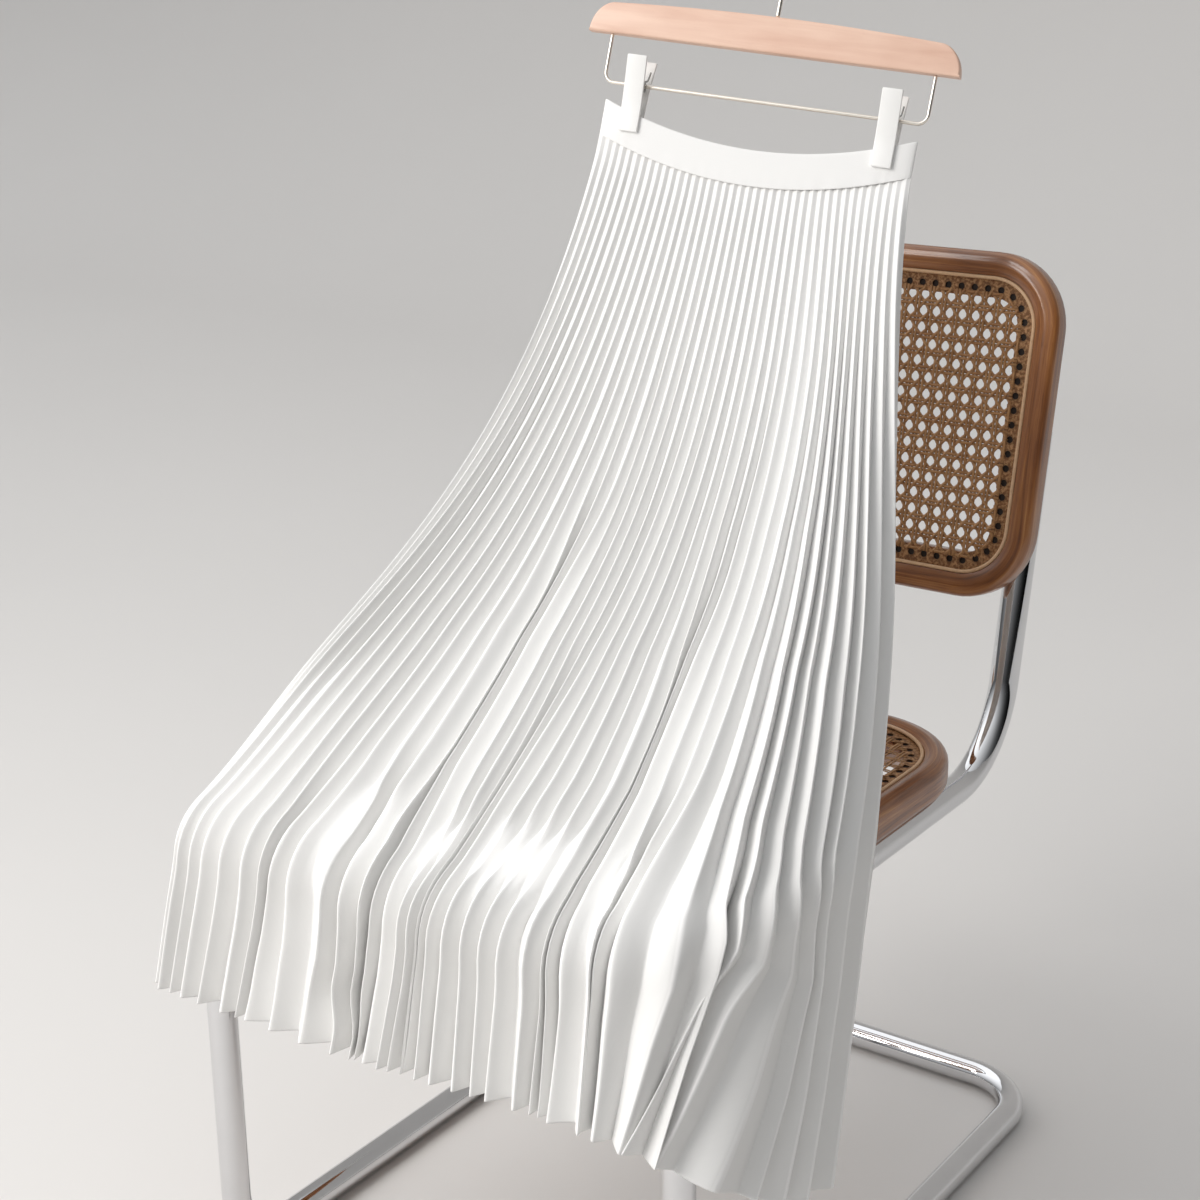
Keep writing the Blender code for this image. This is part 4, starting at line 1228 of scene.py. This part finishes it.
def holedStrip(panel, outline, normals):
    # strip between the bead and the weave, made of one cell for each hole: rings run from the cell's
    # border to the hole's rim, down its wall and to its middle
    look = surroundLook
    top = panel["thickness"] - panel["drop"] - look["sunk"]
    low = panel["thickness"] - panel["drop"] - look["caneWall"] + 0.0001
    line = outline - look["holeInset"] * normals
    closed = np.concatenate([line, line[:1]])
    length = np.concatenate([[0], np.cumsum(np.linalg.norm(np.diff(closed, axis=0), axis=1))])
    count = round(length[-1] / look["holePitch"])
    pitch = length[-1] / count
    angle = np.linspace(0, 2 * math.pi, 24, endpoint=False) + math.pi / 24
    unit = np.stack([np.cos(angle), np.sin(angle)], axis=1)
    inner, outer = look["width"] - 2 * gap - look["holeInset"], look["holeInset"] - look["rebate"] - gap
    square = unit / np.abs(unit).max(axis=1, keepdims=True)
    border = square * np.where(square[:, 1:] > 0, (pitch / 2, inner), (pitch / 2, outer))
    rim = look["holeRadius"] * unit
    rings = np.stack([border, (border + rim) / 2, rim, rim, 0.01 * rim])
    heights = np.array([top, top, top, low, low])
    # second UV number: share of the painted hole shade, none on the strip's top, full on the hole's wall and
    # floor
    inside = np.array([0.0, 0.0, 0.3, 1.0, 1.0])
    along = (np.arange(count)[:, None, None] + 0.5) * pitch + rings[None, :, :, 0]
    inset = look["holeInset"] + np.broadcast_to(rings[None, :, :, 1], along.shape)
    wrapped = along % length[-1]
    base = [np.interp(wrapped, length, np.append(values, values[0]))
            for values in (*outline.T, *normals.T)]
    x, y = base[0] - inset * base[2], base[1] - inset * base[3]
    z = np.broadcast_to(heights[None, :, None], along.shape)
    points = np.stack([x, y, z], axis=-1).reshape(-1, 3)
    uv = np.stack([along, np.broadcast_to(inside[None, :, None], along.shape)], axis=-1).reshape(-1, 2)
    cell = gridQuads(len(rings), len(angle), closedColumns=True)
    quads = (cell[None] + np.arange(count)[:, None, None] * rings.shape[0] * rings.shape[1]).reshape(-1, 4)
    return points, quads, uv


def carriedRound(outline, normals, insets, levels):
    # rows of points: one outline for each inset from the panel's outside, at its own level
    flat = outline[None] - insets[:, None, None] * normals[None]
    return np.concatenate([flat, np.broadcast_to(levels[:, None, None], (*flat.shape[:2], 1))], axis=-1)


def passedAlong(path):
    # length passed at each point of a closed path, and at its first point again
    steps = np.linalg.norm(np.roll(path, -1, axis=0) - path, axis=1)
    return np.concatenate([[0], np.cumsum(steps)])


def addSurround(panel, toWorld, outline, normals):
    # one UV pair for each corner of a face, so that the grain closes without a jump
    section = surroundSection(panel)
    local = carriedRound(outline, normals, section[:, 0], section[:, 1])
    rows, columns = local.shape[:2]
    points = toWorld(local.reshape(-1, 3))
    quads = gridQuads(rows, columns, closedRows=True, closedColumns=True)
    i, j = np.divmod(np.arange(rows * columns), columns)
    along, around = passedAlong(outline), passedAlong(section)
    corners = np.stack([np.stack([along[j + dj], around[i + di]], axis=1)
                        for di, dj in ((0, 0), (0, 1), (1, 1), (1, 0))], axis=1)
    if signedVolume(points, quads) < 0:
        quads, corners = quads[:, ::-1], corners[:, ::-1]
    addPiece("wooden" + panel["name"], points, quads, "wood", [panel["nodes"][0]], corners.reshape(-1, 2),
             sharp=50)


def addBead(panel, toWorld, outline, normals):
    # split reed, round in section, between the wood and the strip with the holes
    radius = surroundLook["bead"]
    angle = np.linspace(0, 2 * math.pi, 12, endpoint=False)
    insets = surroundLook["rebate"] + 1.1 * radius + radius * np.cos(angle)
    levels = panel["thickness"] - panel["drop"] + 0.5 * radius + radius * np.sin(angle)
    local = carriedRound(outline, normals, insets, levels)
    points = toWorld(local.reshape(-1, 3))
    quads = gridQuads(*local.shape[:2], closedRows=True, closedColumns=True)
    if signedVolume(points, quads) < 0:
        quads = quads[:, ::-1]
    along = np.tile(passedAlong(outline)[:-1], len(angle))
    addPiece("bead" + panel["name"], points, quads, "bead", (), np.stack([along, 0.3 + 0 * along], axis=1))


def addPanel(panel, toWorld):
    outline, normals = outlineAndNormals(panel)
    addSurround(panel, toWorld, outline, normals)
    addBead(panel, toWorld, outline, normals)
    points, quads, uv = holedStrip(panel, outline, normals)
    addPiece("binding" + panel["name"], toWorld(points), quads, "binding", (), uv, sharp=40)
    points, quads, uv = wovenCane(panel)
    addPiece("cane" + panel["name"], toWorld(points), quads, "cane", [panel["nodes"][1]], uv)


def seatPlace(local):
    middle = np.array([0, chair["seatFrontY"] + seatPanel["halfY"], chair["railZ"] + tubeRadius + gap])
    return local + middle + chairPlace


def backPlace(local):
    lean = math.atan2(chair["uprightTop"][0] - chair["railBackY"], chair["uprightTop"][1] - chair["railZ"])
    up, off = chair["backrestMiddle"], tubeRadius + gap
    place = np.array([0, chair["railBackY"] + up * math.sin(lean) - off * math.cos(lean),
                      chair["railZ"] + up * math.cos(lean) + off * math.sin(lean)])
    turn = np.array(Euler((math.pi / 2 - lean, 0, 0)).to_matrix())
    return local @ turn.T + place + chairPlace


addChairTube()
addPanel(seatPanel, seatPlace)
addPanel(backPanel, backPlace)
print("chair made")


studio = {
    "floor": (0.74, 0.72, 0.70),
    "fill": (0.97, 0.985, 1.0),
    "fillHorizon": 0.06,
    "fillAbove": 0.95,
    "fillSide": 0.95,            # how much brighter it is at the left, and dimmer at the right
    "keyPlace": (-1.25, -2.5, 2.35),
    "keySize": 1.7,
    "keyPower": 74,
    "keyColour": (1.0, 0.975, 0.945),
    "keyAim": (0.03, -0.05, 0.6),
    "floorHalf": 8,
    "floorFront": -7,
    "floorBack": 3,
    "sweep": 1.5,                # radius of its turn up to the wall
    "wallTop": 6,
}


def addFloor():
    # level floor that sweeps up to a wall far behind
    sweep, back = studio["sweep"], studio["floorBack"]
    turn = np.linspace(0, math.pi / 2, 14)[1:]
    depth = np.concatenate([np.linspace(studio["floorFront"], back, 6), back + sweep * np.sin(turn),
                            [back + sweep]])
    height = np.concatenate([np.zeros(6), sweep * (1 - np.cos(turn)), [studio["wallTop"]]])
    across = np.linspace(-studio["floorHalf"], studio["floorHalf"], 9)
    points = np.stack(np.broadcast_arrays(across[None, :], depth[:, None], height[:, None]), axis=-1)
    made, start = startFinish("paleFloor")
    cloud = noise(start, "Object", (1.2, 1.2, 1.2), 3.0)
    darker = tuple(0.97 * c for c in studio["floor"])
    endFinish(start, {"Base Color": blend(start, cloud, darker, studio["floor"]), "Roughness": 0.75})
    mesh = bpy.data.meshes.new("paleFloor")
    mesh.from_pydata(points.reshape(-1, 3).tolist(), [], gridQuads(len(depth), len(across)).tolist())
    mesh.shade_smooth()
    mesh.materials.append(made)
    floor = bpy.data.objects.new("paleFloor", mesh)
    bpy.context.scene.collection.objects.link(floor)


def addKey():
    # soft square light, aimed at the middle of the skirt
    data = bpy.data.lights.new("key", "AREA")
    data.size = studio["keySize"]
    data.energy = studio["keyPower"]
    data.color = studio["keyColour"]
    light = bpy.data.objects.new("key", data)
    bpy.context.scene.collection.objects.link(light)
    place = Vector(studio["keyPlace"])
    turn = (place - Vector(studio["keyAim"])).to_track_quat("Z", "Y")
    light.matrix_world = Matrix.Translation(place) @ turn.to_matrix().to_4x4()


def addFill():
    # dimmer at the horizon than overhead, and at the right than at the left
    world = bpy.data.worlds.new("studio")
    bpy.context.scene.world = world
    world.use_nodes = True
    start = Wire(world.node_tree)
    background = world.node_tree.nodes["Background"]
    background.inputs["Color"].default_value = (*studio["fill"], 1.0)
    direction = start.node("ShaderNodeTexCoord", None, None, "Generated")
    sideways, upwards = (start.node("ShaderNodeSeparateXYZ", None, {0: direction}, k) for k in (0, 2))
    gain = studio["fillAbove"] - studio["fillHorizon"]
    strength = (upwards * 1.4).limited() * gain + studio["fillHorizon"]
    strength = strength * (1 - studio["fillSide"] * sideways)
    world.node_tree.links.new(strength.socket, background.inputs["Strength"])


addFloor()
addKey()
addFill()
bpy.context.scene.view_settings.view_transform = "Standard"
print("studio lit")
